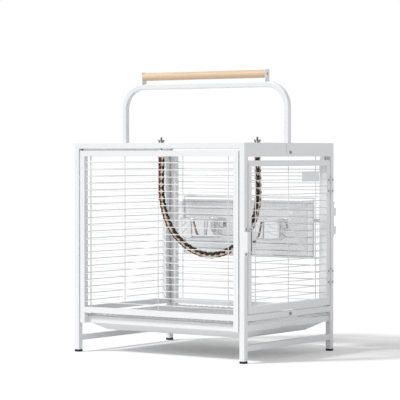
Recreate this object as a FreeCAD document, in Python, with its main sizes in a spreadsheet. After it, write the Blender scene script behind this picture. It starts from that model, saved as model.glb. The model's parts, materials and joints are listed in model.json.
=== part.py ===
import FreeCAD, Part
import math
import os
import Sketcher

# A wire bird cage on a square tube frame, in millimetres, +Z up.
# The cage stands on z = 0 with its origin under the middle of its box. X runs along its long
# side, the door is in the short side at +X and the feeder door in the long side at +Y.

SIZES = {
    # Square tube frame
    "frame_length": 558,
    "frame_depth": 430,
    "frame_height": 566,
    "tube_side": 15,
    "tube_wall": 1.2,
    "band_height": 36,
    "band_wall": 1.5,
    "side_rail_height": 108,
    "stretcher_height": 31,
    "cap_height": 6,
    "cap_lip": 1,
    "cap_plug": 10,
    "running_clearance": 0.05,
    # Wire panels between the posts
    "panel_gap": 4,
    "panel_drop": 5.5,
    "panel_foot": 80,
    "spacer_diameter": 8,
    "spacer_inset": 60,
    "wire_diameter": 2.3,
    "wire_inset": 4,
    "weld_sink": 0.3,
    "panel_pitch": 18.8,
    "panel_first": 14.6,
    "wire_end_gap": 5,
    "long_upright_inset": 20,
    "short_upright_inset": 27,
    # Roof
    "roof_bar_width": 20,
    "roof_bar_thickness": 3,
    "roof_bar_drop": 3,
    "roof_stay": 130,
    # Handle arch and the perch on it
    "handle_rise": 163.5,
    "handle_bend": 70,
    "handle_wall": 1.5,
    "leg_clearance": 0.15,
    "leg_depth": 33,
    "slit_width": 1.5,
    "slit_depth": 27,
    "slit_offset": 20,
    "rail_screw_rise": 11,
    "rail_screw_head": 9,
    "dowel_end_gap": 1.35,
    "dowel_diameter": 22,
    "dowel_rise": 20.5,
    "dowel_screw_length": 18,
    "bracket_width": 20,
    "bracket_thickness": 2,
    "bracket_height": 32.5,
    # Rope perch and its fixings
    "rope_diameter": 19,
    "rope_left_inset": 115.1,
    "rope_right_inset": 80,
    "rope_drop": 32,
    "ferrule_diameter": 21,
    "ferrule_height": 20,
    "ferrule_grip": 12,
    "rope_bolt_diameter": 6,
    "rope_bolt_rise": 20,
    "bolt_clearance": 0.2,
    "washer_diameter": 15,
    "washer_thickness": 1.2,
    "lock_nut_width": 10,
    "lock_nut_height": 5,
    "nut_hub_diameter": 11,
    "nut_hub_height": 7,
    "nut_span": 24,
    "nut_wing_height": 14,
    "nut_wing_thickness": 2.6,
    # Door in the short side
    "door_gap": 3,
    "door_lift": 3.5,
    "door_head_gap": 10,
    "door_foot_rail": 19,
    "door_pitch": 19.2,
    "door_first": 16,
    "plate_length": 83.5,
    "plate_height": 27,
    "plate_thickness": 1,
    "plate_inset": 37,
    "plate_drop": 43.5,
    # Door hinges
    "leaf_height": 42,
    "leaf_reach": 15,
    "leaf_thickness": 1.5,
    "knuckle_diameter": 5,
    "knuckle_lift": 0.4,
    "knuckle_height": 14,
    "knuckle_gap": 0.3,
    "pin_diameter": 2.5,
    "pin_head": 1,
    "hinge_high_drop": 68.5,
    "hinge_low_rise": 77,
    "leaf_screw_reach": 10.2,
    "leaf_screw_rise": 15,
    "screw_head_diameter": 5.6,
    "screw_head_height": 1.2,
    "screw_diameter": 3,
    "screw_length": 6,
    # Door latch
    "latch_rise": 185.5,
    "latch_plate_length": 76,
    "latch_case_length": 52,
    "latch_reach": 10,
    "latch_wall": 1.2,
    "latch_gap": 6,
    "latch_width": 18,
    "latch_screw_rise": 32,
    "bar_length": 19.5,
    "bar_clearance": 0.25,
    "bar_proud": 4,
    "bar_travel": 8,
    "thumb_size": 5,
    "thumb_reach": 2.5,
    # Tray, grate and the runners that carry them
    "runner_height": 18.5,
    "runner_shelf": 8,
    "runner_sheet": 1.2,
    "slide_play": 1.3,
    "slide_lift": 0.3,
    "drawer_back_gap": 16,
    "drawer_front_gap": 3,
    "tray_sheet": 1,
    "tray_rim": 8,
    "tray_front_height": 16,
    "tray_ledge": 6,
    "tray_slope": 38,
    "tray_drop": 22,
    "pull_width": 74,
    "pull_height": 14,
    "pull_reach": 6,
    "grate_frame": 4,
    "grate_wire": 3,
    "grate_pitch": 19.2,
    "grate_end_gap": 9,
    "grate_stay": 130,
    "grate_tab_height": 7.5,
    # Feeder door in the back panel
    "feeder_row": 6,
    "feeder_gaps": 9,
    "feeder_wire": 4,
    "feeder_margin": 4,
    "sleeve_row": 1.5,
    "tab_row": 4.5,
    "sleeve_diameter": 8.6,
    "sleeve_height": 12,
    "sleeve_clearance": 0.1,
    "loop_reach": 13.4,
    "loop_height": 21,
    "loop_strip": 2.2,
    "loop_width": 11,
    "loop_spacing": 50,
    "drop_rod_diameter": 6.4,
    "drop_rod_tail": 7,
    "drop_head_diameter": 10,
    "drop_head_height": 4,
    "drop_travel": 12,
    "finger_thickness": 4,
    "finger_gap": 0.5,
    "finger_reach": 26,
    "tab_thickness": 2,
    "tab_height": 10,
    "tab_gap": 1,
    "tab_reach": 31,
    # Splash guard and cups
    "guard_thickness": 3,
    "guard_overlap": 0.5,
    "guard_foot_gap": 5.6,
    "guard_top_gap": 11.6,
    "guard_lip_height": 20,
    "guard_lip_thickness": 1.5,
    "wing_inset": 13,
    "wing_depth": 92,
    "wing_bevel": 22,
    "wing_fall": 19,
    "wing_nose": 35,
    "cup_spacing": 211,
    "cup_diameter": 125,
    "cup_drop": 50.5,
    "cup_depth": 57,
    "cup_wall": 0.8,
    "cup_lip": 3,
    "cup_taper": 3,
    "cup_bevel": 10,
    "cup_gap": 2.5,
    "ring_wire": 4,
    "ring_clearance": 0.4,
    "ring_arm_spacing": 50,
    "ring_plate_width": 74,
    "ring_plate_height": 26,
    "ring_plate_thickness": 1.5,
    "ring_screw_spacing": 58,
    "ring_screw_drop": 14,
    "ring_nut_width": 6.4,
    "ring_nut_height": 2.2,
}

# The rope perch between its first and last points, which its bolts place: (across from the middle,
# up from the ferrules)
ROPE_POINTS = [
    (-147.0, -50.0),
    (-146.5, -103.0),
    (-133.0, -164.0),
    (-101.0, -214.0),
    (-52.0, -250.0),
    (12.0, -270.0),
    (72.0, -258.0),
    (128.0, -225.0),
    (162.0, -176.0),
    (177.0, -120.0),
    (176.5, -60.0),
]
ROPE_BEND_SHARE = 0.45

doc = FreeCAD.newDocument("BirdCage")
sheet = doc.addObject("Spreadsheet::Sheet", "Sizes")
for row, (alias, number) in enumerate(SIZES.items(), start=1):
    sheet.set(f"A{row}", alias.replace("_", " "))
    sheet.set(f"B{row}", str(number))
    sheet.setAlias(f"B{row}", alias)
doc.recompute()


class Measure:
    """A size as its number and as the formula that binds it to the sheet."""

    def __init__(self, value, text):
        self.value = value
        self.text = text

    @staticmethod
    def of(item):
        return item if isinstance(item, Measure) else Measure(float(item), repr(float(item)))

    def __add__(self, other):
        other = Measure.of(other)
        return Measure(self.value + other.value, f"({self.text} + {other.text})")

    def __sub__(self, other):
        other = Measure.of(other)
        return Measure(self.value - other.value, f"({self.text} - {other.text})")

    def __mul__(self, other):
        other = Measure.of(other)
        return Measure(self.value * other.value, f"({self.text} * {other.text})")

    def __truediv__(self, other):
        other = Measure.of(other)
        return Measure(self.value / other.value, f"({self.text} / {other.text})")

    def __neg__(self):
        return Measure(-self.value, f"(0 - {self.text})")

    def __rsub__(self, other):
        return Measure.of(other) - self

    def floor(self):
        return Measure(math.floor(self.value), f"floor({self.text})")

    __radd__ = __add__
    __rmul__ = __mul__


def size(alias):
    return Measure(float(sheet.get(alias)), f"Sizes.{alias}")


def wires_in(stretch, first, pitch, end_gap):
    """How many wires fit in a stretch, from the first one's place to a gap before its end."""
    return ((stretch - first - end_gap) / pitch).floor() + 1


X_AXIS = FreeCAD.Vector(1, 0, 0)
Y_AXIS = FreeCAD.Vector(0, 1, 0)
Z_AXIS = FreeCAD.Vector(0, 0, 1)
UPRIGHT = FreeCAD.Rotation()
ALONG = {"x": FreeCAD.Rotation(Y_AXIS, 90), "y": FreeCAD.Rotation(X_AXIS, -90), "z": UPRIGHT}
QUARTER_TURN = FreeCAD.Rotation(Z_AXIS, 90)
UP_FROM_Y = FreeCAD.Rotation(X_AXIS, 90)
ROUND_THE_AXES = FreeCAD.Rotation(FreeCAD.Vector(1, 1, 1), 120)
nodes = {}


def bind(thing, **sizes):
    for name, item in sizes.items():
        thing.setExpression(name, Measure.of(item).text)
    return thing


def place(thing, x, y, z, turn=UPRIGHT):
    spot = [Measure.of(item) for item in (x, y, z)]
    thing.Placement = FreeCAD.Placement(FreeCAD.Vector(*[item.value for item in spot]), turn)
    for letter, item in zip("xyz", spot):
        thing.setExpression(f"Placement.Base.{letter}", item.text)
    return thing


def box(name, x, y, z):
    """A block between two places on each axis."""
    (x0, x1), (y0, y1), (z0, z1) = [(Measure.of(a), Measure.of(b)) for a, b in (x, y, z)]
    block = doc.addObject("Part::Box", name)
    bind(block, Length=x1 - x0, Width=y1 - y0, Height=z1 - z0)
    return place(block, x0, y0, z0)


def rod(name, axis, foot, length, radius):
    """A round bar that starts at foot and runs along an axis."""
    bar = doc.addObject("Part::Cylinder", name)
    bind(bar, Radius=radius, Height=length)
    return place(bar, *foot, ALONG[axis])


def fuse(name, pieces):
    whole = doc.addObject("Part::MultiFuse", name)
    whole.Shapes = pieces
    whole.Refine = True
    return whole


def cut(name, base, tools):
    part = doc.addObject("Part::Cut", name)
    part.Base = base
    part.Tool = tools[0] if len(tools) == 1 else fuse(f"{name}_cuts", tools)
    return part


def group(name, pieces):
    """Separate solids that share one node."""
    whole = doc.addObject("Part::Compound", name)
    whole.Links = pieces
    return whole


def node(thing, name=None):
    thing.Label = name or thing.Name
    nodes[thing.Label] = thing
    return thing


def tube(name, axis, x, y, z, wall):
    """A square tube, open at both ends, that fills a block."""
    inner = {}
    for letter, (start, end) in zip("xyz", (x, y, z)):
        inner[letter] = (start, end) if letter == axis else (start + wall, end - wall)
    bore = box(f"{name}_bore", inner["x"], inner["y"], inner["z"])
    return cut(name, box(f"{name}_outer", x, y, z), [bore])


def around(centre, width):
    return (centre - width / 2, centre + width / 2)


def shrink(stretch, inset):
    return (stretch[0] + inset, stretch[1] - inset)


def sketch_on(body, role, name):
    """An empty sketch on one of the body's own origin planes."""
    plane = next(item for item in body.Origin.OriginFeatures if item.Role == role)
    sketch = body.newObject("Sketcher::SketchObject", name)
    sketch.AttachmentSupport = [(plane, "")]
    sketch.MapMode = "FlatFace"
    return sketch


def constrain(sketch, measure, kind, *place_of):
    measure = Measure.of(measure)
    index = sketch.addConstraint(Sketcher.Constraint(kind, *place_of, measure.value))
    sketch.setExpression(f"Constraints[{index}]", measure.text)


CENTRE_POINT = 3
START_POINT = 1
END_POINT = 2


def draw_circle(sketch, across, up, radius):
    across, up, radius = Measure.of(across), Measure.of(up), Measure.of(radius)
    centre = FreeCAD.Vector(across.value, up.value, 0)
    circle = sketch.addGeometry(Part.Circle(centre, Z_AXIS, radius.value))
    constrain(sketch, radius, "Radius", circle)
    constrain(sketch, across, "DistanceX", circle, CENTRE_POINT)
    constrain(sketch, up, "DistanceY", circle, CENTRE_POINT)


def draw_outline(sketch, points):
    """A closed outline of straight sides through points that are bound to the sheet."""
    points = [(Measure.of(across), Measure.of(up)) for across, up in points]
    ends = points[1:] + points[:1]
    for (x0, y0), (x1, y1) in zip(points, ends):
        start, end = FreeCAD.Vector(x0.value, y0.value, 0), FreeCAD.Vector(x1.value, y1.value, 0)
        sketch.addGeometry(Part.LineSegment(start, end))
    for line, (across, up) in enumerate(points):
        constrain(sketch, across, "DistanceX", line, START_POINT)
        constrain(sketch, up, "DistanceY", line, START_POINT)
        following = (line + 1) % len(points)
        sketch.addConstraint(Sketcher.Constraint("Coincident", line, END_POINT, following, START_POINT))


def pad(body, sketch, length):
    feature = body.newObject("PartDesign::Pad", f"{sketch.Name}_pad")
    feature.Profile = sketch
    bind(feature, Length=length)
    body.Tip = feature
    return feature


def grid(name, row_wires, uprights, upright_side=1):
    """Welded wires: each run is (start, length, first, pitch, count, radius) along the body's X and
    up its Z, and each upright is (across, foot, length, radius), lapped over one side of the runs."""
    body = doc.addObject("PartDesign::Body", name)
    body.AllowCompound = True
    for number, (start, length, first, pitch, count, radius) in enumerate(row_wires):
        sketch = sketch_on(body, "YZ_Plane", f"{name}_row_{number}")
        bind(sketch, **{"AttachmentOffset.Base.z": start})
        draw_circle(sketch, 0, first, radius)
        feature = pad(body, sketch, length)
        if count is not None:
            pattern = body.newObject("PartDesign::LinearPattern", f"{name}_rows_{number}")
            pattern.Originals = [feature]
            pattern.Direction = (sketch, ["V_Axis"])
            bind(pattern, Length=pitch * (Measure.of(count) - 1), Occurrences=count)
            body.Tip = pattern
    step = upright_side * upright_step
    for number, (across, foot, length, radius) in enumerate(uprights):
        sketch = sketch_on(body, "XY_Plane", f"{name}_upright_{number}")
        bind(sketch, **{"AttachmentOffset.Base.z": foot})
        draw_circle(sketch, across, step, radius)
        pad(body, sketch, length)
    return body


# Places that many pieces share
tube_side, tube_wall = size("tube_side"), size("tube_wall")
band_wall, band_height = size("band_wall"), size("band_height")
leg_clearance = size("leg_clearance")
clearance = size("running_clearance")
wire_radius, wire_inset = size("wire_diameter") / 2, size("wire_inset")
upright_step = size("wire_diameter") - size("weld_sink")
screw_radius = size("screw_diameter") / 2
left = -(size("frame_length") + size("latch_reach") + size("thumb_reach")) / 2
right = left + size("frame_length")
front = -(size("frame_depth") + size("loop_reach")) / 2
back = front + size("frame_depth")
top = size("frame_height")
middle_x = (left + right) / 2
middle_y = (front + back) / 2
inside_x = (left + tube_side, right - tube_side)
inside_y = (front + tube_side, back - tube_side)
band_depth = tube_side + 2 * (band_wall + leg_clearance)
band_low = top - band_height
rail_low = size("side_rail_height")
rail_high = rail_low + tube_side
panel_top = top - tube_side - size("panel_drop")
hinge_x = right + size("knuckle_diameter") / 2 + size("knuckle_lift")
hinge_y = inside_y[1] - size("door_gap") / 2
case_y = (inside_y[0] + size("latch_gap"), inside_y[0] + size("latch_gap") + size("latch_width"))
case_middle = (case_y[0] + case_y[1]) / 2
keeper_y = (front, front + tube_side)
keeper_middle = front + tube_side / 2


def screw(name, axis, spot, outward, length, head=None):
    """A screw through a face: spot is where its head sits, outward the head's side of that face."""
    head = head or (size("screw_head_diameter"), size("screw_head_height"))
    across = "xyz".index(axis)
    shank_foot, head_foot = list(spot), list(spot)
    if outward > 0:
        shank_foot[across] = spot[across] - length
    else:
        head_foot[across] = spot[across] - head[1]
    shank = rod(f"{name}_shank", axis, shank_foot, length, screw_radius)
    cap = rod(f"{name}_head", axis, head_foot, head[1], head[0] / 2)
    return fuse(name, [shank, cap])


def hole(name, axis, spot, reach, radius=None):
    """A round hole that runs as far to both sides of its spot."""
    start = list(spot)
    across = "xyz".index(axis)
    start[across] = spot[across] - reach
    return rod(name, axis, start, 2 * reach, radius or screw_radius + clearance)


# Frame: four posts on foot caps, joined by rails
door_low, door_high = rail_high + size("door_lift"), band_low - size("door_head_gap")
hinge_middles = [door_high - size("hinge_high_drop"), door_low + size("hinge_low_rise")]
leaf_screw_rise = size("leaf_screw_rise")
leaf_screw_heights = [middle + rise * leaf_screw_rise for middle in hinge_middles for rise in (-1, 1)]
latch_height = door_low + size("latch_rise")
latch_screw_heights = [latch_height + rise * size("latch_screw_rise") for rise in (-1, 1)]
post_leaf_screws = [(hinge_y + size("leaf_screw_reach"), z) for z in leaf_screw_heights]
door_leaf_screws = [(hinge_y - size("leaf_screw_reach"), z) for z in leaf_screw_heights]
keeper_screws = [(keeper_middle, z) for z in latch_screw_heights]
case_screws = [(case_middle, z) for z in latch_screw_heights]
corners = {
    "front_left": (left, front),
    "front_right": (inside_x[1], front),
    "back_left": (left, inside_y[1]),
    "back_right": (inside_x[1], inside_y[1]),
}


def face_holes(name, spots):
    return [hole(f"{name}_hole_{i}", "x", (right, y, z), 2 * tube_wall) for i, (y, z) in enumerate(spots)]


def post(name, x, y, screws):
    low = size("cap_height")
    whole = box(f"{name}_outer", (x, x + tube_side), (y, y + tube_side), (low, top))
    inside = [(start + tube_wall, start + tube_side - tube_wall) for start in (x, y)]
    bore = box(f"{name}_bore", *inside, (low, top - tube_wall))
    return cut(name, whole, [bore] + face_holes(name, screws))


def foot_cap(name, x, y):
    """A moulded cap: a sole under the post and a plug inside it."""
    lip, height = size("cap_lip"), size("cap_height")
    inset = tube_wall + clearance
    sole = [(start - lip, start + tube_side + lip) for start in (x, y)]
    plug = [(start + inset, start + tube_side - inset) for start in (x, y)]
    pieces = [
        box(f"{name}_sole", *sole, (0, height)),
        box(f"{name}_plug", *plug, (height, height + size("cap_plug"))),
    ]
    return fuse(name, pieces)


post_screws = {"back_right": post_leaf_screws, "front_right": keeper_screws}
for corner, (x, y) in corners.items():
    node(post(f"post_{corner}", x, y, post_screws.get(corner, [])))
node(group("foot_caps", [foot_cap(f"foot_cap_{corner}", x, y) for corner, (x, y) in corners.items()]))
for name, y in (("top_rail_front", front), ("top_rail_back", inside_y[1])):
    node(tube(name, "x", inside_x, (y, y + tube_side), (top - tube_side, top), tube_wall))

sides = {"left": (left, 1), "right": (right, -1)}
rail_screw_height = band_low + size("rail_screw_rise")
side_rail_screw_height = rail_low + tube_side / 2


def span(face, inward, depth):
    """The stretch from a face to a depth behind it."""
    return (face, face + depth) if inward > 0 else (face - depth, face)


def side_band(name, face, inward):
    """The deep rail that takes a handle leg through its top, with a slit beside the screw."""
    body = tube(f"{name}_tube", "y", span(face, inward, band_depth), inside_y, (band_low, top), band_wall)
    leg = around(face + inward * band_depth / 2, tube_side + 2 * leg_clearance)
    leg_hole = box(
        f"{name}_leg_hole",
        leg,
        around(middle_y, tube_side + 2 * leg_clearance),
        around(top, 3 * band_wall),
    )
    slit_y = middle_y - size("slit_offset")
    slit = box(
        f"{name}_slit",
        around(face, 2 * band_wall),
        (slit_y, slit_y + size("slit_width")),
        (top - size("slit_depth"), top + band_wall),
    )
    screw_hole = hole(f"{name}_screw_hole", "x", (face, middle_y, rail_screw_height), 2 * band_wall)
    return cut(name, body, [leg_hole, slit, screw_hole])


for side, (face, inward) in sides.items():
    node(side_band(f"top_band_{side}", face, inward))
    rail = f"side_rail_{side}"
    rail_tube = tube(
        f"{rail}_tube", "y", span(face, inward, tube_side), inside_y, (rail_low, rail_high), tube_wall
    )
    rail_hole = hole(f"{rail}_screw_hole", "x", (face, middle_y, side_rail_screw_height), 2 * tube_wall)
    node(cut(rail, rail_tube, [rail_hole]))
    low = size("stretcher_height")
    depth = span(face, inward, tube_side)
    node(tube(f"stretcher_{side}", "y", depth, inside_y, (low, low + tube_side), tube_wall))

# Wire panels in the front, the back and the left side
panel_x = (inside_x[0] + size("panel_gap"), inside_x[1] - size("panel_gap"))
panel_y = (inside_y[0] + size("panel_gap"), inside_y[1] - size("panel_gap"))
panel_foot = size("panel_foot")
row_pitch = size("panel_pitch")
first_row = rail_high + size("panel_first")


def panel_frame(name, run, across, stile, rails, holes=()):
    """Two stiles and the rails between them. The frame runs along X or Y, across is its other
    direction, stile is the height that the stiles cover and rails are the heights of the rails."""
    axis, (start, end) = run
    pieces = []
    for number, along in enumerate([(start, start + tube_side), (end - tube_side, end)]):
        x, y = (along, across) if axis == "x" else (across, along)
        pieces.append(tube(f"{name}_stile_{number}", "z", x, y, stile, tube_wall))
    between = (start + tube_side, end - tube_side)
    for number, rail in enumerate(rails):
        x, y = (between, across) if axis == "x" else (across, between)
        pieces.append(tube(f"{name}_rail_{number}", axis, x, y, rail, tube_wall))
    if not rails:
        return group(name, pieces)
    if not holes:
        return fuse(name, pieces)
    return cut(name, fuse(f"{name}_whole", pieces), list(holes))


panel_stile = (panel_foot, panel_top)
panel_rails = [(rail_low, rail_high), (panel_top - tube_side, panel_top)]
runner_screw_height = panel_foot + size("runner_height") / 2
runner_screw_x = [panel_x[0] + tube_side / 2, panel_x[1] - tube_side / 2]
long_sides = {"front": (front, 1), "back": (back, -1)}
for side, (face, inward) in long_sides.items():
    inner_face = face + inward * tube_side
    holes = [
        hole(f"{side}_runner_hole_{i}", "y", (x, inner_face, runner_screw_height), 2 * tube_wall)
        for i, x in enumerate(runner_screw_x)
    ]
    across = span(face, inward, tube_side)
    node(panel_frame(f"{side}_panel_frame", ("x", panel_x), across, panel_stile, panel_rails, holes))
left_stile = (rail_high, band_low)
node(panel_frame("left_panel_stiles", ("y", panel_y), span(left, 1, tube_side), left_stile, []))

spacers = []
panel_gap, spacer_radius = size("panel_gap"), size("spacer_diameter") / 2
spacer_heights = [rail_high + size("spacer_inset"), band_low - size("spacer_inset")]
for number, height in enumerate(spacer_heights):
    for side, (face, inward) in long_sides.items():
        depth = face + inward * tube_side / 2
        for end, x in (("left", inside_x[0]), ("right", panel_x[1])):
            name = f"spacer_{side}_{end}_{number}"
            spacers.append(rod(name, "x", (x, depth, height), panel_gap, spacer_radius))
    for end, y in (("front", inside_y[0]), ("back", panel_y[1])):
        name = f"spacer_left_{end}_{number}"
        foot = (left + tube_side / 2, y, height)
        spacers.append(rod(name, "y", foot, panel_gap, spacer_radius))
node(group("panel_spacers", spacers))

between_stiles = (panel_x[0] + tube_side, panel_x[1] - tube_side)
opening_width = between_stiles[1] - between_stiles[0]
upright_length = panel_top - tube_side - rail_high
long_inset, short_inset = size("long_upright_inset"), size("short_upright_inset")
end_gap = size("wire_end_gap")
long_uprights = [long_inset, opening_width / 2, opening_width - long_inset]
panel_wires = wires_in(upright_length, size("panel_first"), row_pitch, end_gap)
front_rows = [(0, opening_width, size("panel_first"), row_pitch, panel_wires, wire_radius)]
front_grid = grid("front_wires", front_rows, [(x, 0, upright_length, wire_radius) for x in long_uprights])
node(place(front_grid, between_stiles[0], front + wire_inset, rail_high))

left_opening = (panel_y[0] + tube_side, panel_y[1] - tube_side)
left_width = left_opening[1] - left_opening[0]
left_uprights = [short_inset, left_width / 2, left_width - short_inset]
left_rows = [(0, left_width, size("panel_first"), row_pitch, panel_wires, wire_radius)]
left_bars = [(y, 0, band_low - rail_high, wire_radius) for y in left_uprights]
left_grid = grid("left_wires", left_rows, left_bars, -1)
node(place(left_grid, left + wire_inset, left_opening[0], rail_high, QUARTER_TURN))

# The back panel's wires leave an opening for the feeder door
opening_low = size("panel_first") + size("feeder_row") * row_pitch
opening_high = opening_low + size("feeder_gaps") * row_pitch
stub_first = opening_low + row_pitch
stub_count = size("feeder_gaps") - 1
stub_low = opening_low + wire_radius
stub_height = opening_high - wire_radius - stub_low
wires_above = panel_wires - size("feeder_row") - size("feeder_gaps")
beside = opening_width - long_uprights[2]


def field(name, first, count, foot, height):
    """Wires that cross the whole panel, with its three uprights between two heights."""
    rows = [(0, opening_width, first, row_pitch, count, wire_radius)]
    return grid(name, rows, [(x, foot, height, wire_radius) for x in long_uprights], -1)


def stub_field(name, start, length, upright):
    """Short wires between a stile and the upright beside the opening."""
    rows = [(start, length, stub_first, row_pitch, stub_count, wire_radius)]
    return grid(name, rows, [(upright, stub_low, stub_height, wire_radius)], -1)


above = stub_low + stub_height
back_fields = [
    field("back_wires_low", size("panel_first"), size("feeder_row") + 1, 0, stub_low),
    field("back_wires_high", opening_high, wires_above, above, upright_length - above),
    stub_field("back_wires_left", 0, long_uprights[0], long_uprights[0]),
    stub_field("back_wires_right", long_uprights[2], beside, long_uprights[2]),
]
for item in back_fields:
    place(item, between_stiles[0], back - wire_inset, rail_high)
node(group("back_wires", back_fields))

# Roof: wires across, two stays below them and a flat bar above them that takes the rope bolts
roof_x = (left + band_depth, right - band_depth)
rope_left = roof_x[0] + size("rope_left_inset")
rope_gaps = ((roof_x[1] - size("rope_right_inset") - rope_left) / row_pitch).floor()
rope_x = [rope_left, rope_left + rope_gaps * row_pitch]
bar_high = top - size("roof_bar_drop")
bar_low = bar_high - size("roof_bar_thickness")
roof_depth = inside_y[1] - inside_y[0]
roof_gaps_before = ((rope_x[0] - roof_x[0] - end_gap) / row_pitch - 0.5).floor() + 0.5
roof_first = rope_x[0] - roof_x[0] - roof_gaps_before * row_pitch
roof_wires = wires_in(roof_x[1] - roof_x[0], roof_first, row_pitch, end_gap)
roof_rows = [(0, roof_depth, roof_first, row_pitch, roof_wires, wire_radius)]
roof_stays = [
    (roof_depth / 2 + side * size("roof_stay"), 0, roof_x[1] - roof_x[0], wire_radius) for side in (-1, 1)
]
roof_grid = grid("roof_wires", roof_rows, roof_stays, -1)
node(place(roof_grid, roof_x[0], inside_y[0], bar_low - wire_radius, ROUND_THE_AXES))
rope_bolt_radius = size("rope_bolt_diameter") / 2
roof_bar = box("roof_bar_flat", roof_x, around(middle_y, size("roof_bar_width")), (bar_low, bar_high))
bolt_hole_radius = rope_bolt_radius + size("bolt_clearance")
bar_holes = []
for number, x in enumerate(rope_x):
    spot = (x, middle_y, bar_high)
    bar_holes.append(hole(f"roof_bar_hole_{number}", "z", spot, 2 * (bar_high - bar_low), bolt_hole_radius))
node(cut("roof_bar", roof_bar, bar_holes))

# Handle: a square tube arch whose legs stand in the side bands
handle_top, bend, handle_wall = top + size("handle_rise"), size("handle_bend"), size("handle_wall")
leg_low = top - size("leg_depth")
leg_left = left + band_wall + leg_clearance
leg_right = right - band_wall - leg_clearance
ring_turns = {"left": FreeCAD.Rotation(Z_AXIS, 180), "right": FreeCAD.Rotation(Z_AXIS, -90)}


def arch(name, inset):
    """The arch as one solid, drawn in from the tube's faces by inset."""
    width = around(middle_y, tube_side - 2 * inset)
    leg_height = (leg_low - inset, handle_top - bend)
    pieces = [
        box(f"{name}_leg_left", (leg_left + inset, leg_left + tube_side - inset), width, leg_height),
        box(f"{name}_leg_right", (leg_right - tube_side + inset, leg_right - inset), width, leg_height),
        box(
            f"{name}_bar",
            (leg_left + bend, leg_right - bend),
            width,
            (handle_top - tube_side + inset, handle_top - inset),
        ),
    ]
    for side, centre_x in (("left", leg_left + bend), ("right", leg_right - bend)):
        turn = ALONG["y"] * ring_turns[side]
        quarters = []
        for edge, radius in (("outer", bend - inset), ("inner", bend - tube_side + inset)):
            quarter = doc.addObject("Part::Cylinder", f"{name}_{edge}_{side}")
            bind(quarter, Radius=radius, Height=width[1] - width[0], Angle=90)
            quarters.append(place(quarter, centre_x, width[0], handle_top - bend, turn))
        pieces.append(cut(f"{name}_bend_{side}", quarters[0], [quarters[1]]))
    return fuse(name, pieces)


leg_screw_holes = [
    hole(f"handle_screw_hole_{side}", "x", (face, middle_y, rail_screw_height), tube_side / 2)
    for side, (face, inward) in sides.items()
]
node(cut("handle_tube", arch("handle_outer", 0), [arch("handle_bore", handle_wall)] + leg_screw_holes))

rail_screw_head = (size("rail_screw_head"), size("screw_head_height") + band_wall)
frame_screws = []
for side, (face, inward) in sides.items():
    for kind, height in (("handle", rail_screw_height), ("rail", side_rail_screw_height)):
        spot = (face, middle_y, height)
        name = f"{kind}_screw_{side}"
        frame_screws.append(screw(name, "x", spot, -inward, size("screw_length"), rail_screw_head))
node(group("frame_screws", frame_screws))

# Dowel perch between two plates on top of the handle
dowel_radius, dowel_height = size("dowel_diameter") / 2, handle_top + size("dowel_rise")
plate_thickness = size("bracket_thickness")
half_dowel = (leg_right - leg_left) / 2 - bend - plate_thickness - size("dowel_end_gap")
plate_y = around(middle_y, size("bracket_width"))
dowel_screw_length = size("dowel_screw_length")
plates, dowel_holes, dowel_screws = [], [], []
for name, inner, outward in (("left", middle_x - half_dowel, -1), ("right", middle_x + half_dowel, 1)):
    plate_z = (handle_top, handle_top + size("bracket_height"))
    plate = box(f"plate_{name}", span(inner, outward, plate_thickness), plate_y, plate_z)
    spot = (inner, middle_y, dowel_height)
    plate_hole = hole(f"plate_hole_{name}", "x", spot, 2 * plate_thickness)
    plates.append(cut(f"perch_plate_{name}", plate, [plate_hole]))
    dowel_holes.append(hole(f"dowel_hole_{name}", "x", spot, dowel_screw_length))
    face = (inner + outward * plate_thickness, middle_y, dowel_height)
    dowel_screws.append(screw(f"perch_screw_{name}", "x", face, outward, dowel_screw_length))
node(group("perch_plates", plates))
dowel_foot = (middle_x - half_dowel, middle_y, dowel_height)
dowel = rod("dowel_round", "x", dowel_foot, 2 * half_dowel, dowel_radius)
node(cut("perch_dowel", dowel, dowel_holes))
node(group("perch_screws", dowel_screws))

# Rope perch: bolts through the roof bar, each with a ferrule below and a wing nut above
rope_top = bar_low - size("rope_drop")
ferrule_top = rope_top + size("ferrule_height")
bolt_foot = ferrule_top - size("ferrule_grip")
washer_thickness = size("washer_thickness")
bolt_length = bar_high + size("rope_bolt_rise") - bolt_foot


def washer(name, x, low):
    disc = rod(f"{name}_disc", "z", (x, middle_y, low), washer_thickness, size("washer_diameter") / 2)
    bore = hole(f"{name}_hole", "z", (x, middle_y, low), 2 * washer_thickness, bolt_hole_radius)
    return cut(name, disc, [bore])


def hex_nut(name, axis, spot, width, height, bore):
    """A nut whose base is centred on spot."""
    prism = doc.addObject("Part::Prism", f"{name}_hex")
    prism.Polygon = 6
    bind(prism, Circumradius=width / math.sqrt(3), Height=height)
    place(prism, *spot, ALONG[axis])
    return cut(name, prism, [hole(f"{name}_hole", axis, spot, 2 * height, bore)])


def wing_nut(name, x, low):
    """A round hub with two ears that stand up beside the bolt."""
    hub_radius = size("nut_hub_diameter") / 2
    hub = rod(f"{name}_hub", "z", (x, middle_y, low), size("nut_hub_height"), hub_radius)
    ears = box(
        f"{name}_ears",
        around(x, size("nut_span")),
        around(middle_y, size("nut_wing_thickness")),
        (low + size("nut_hub_height") / 2, low + size("nut_wing_height")),
    )
    above = (x, middle_y, low + size("nut_hub_height"))
    gap = rod(f"{name}_gap", "z", above, size("nut_wing_height"), hub_radius)
    body = fuse(f"{name}_body", [hub, cut(f"{name}_wings", ears, [gap])])
    spot = (x, middle_y, low)
    bore = hole(f"{name}_bore", "z", spot, 2 * size("nut_wing_height"), rope_bolt_radius + clearance)
    return cut(name, body, [bore])


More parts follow.
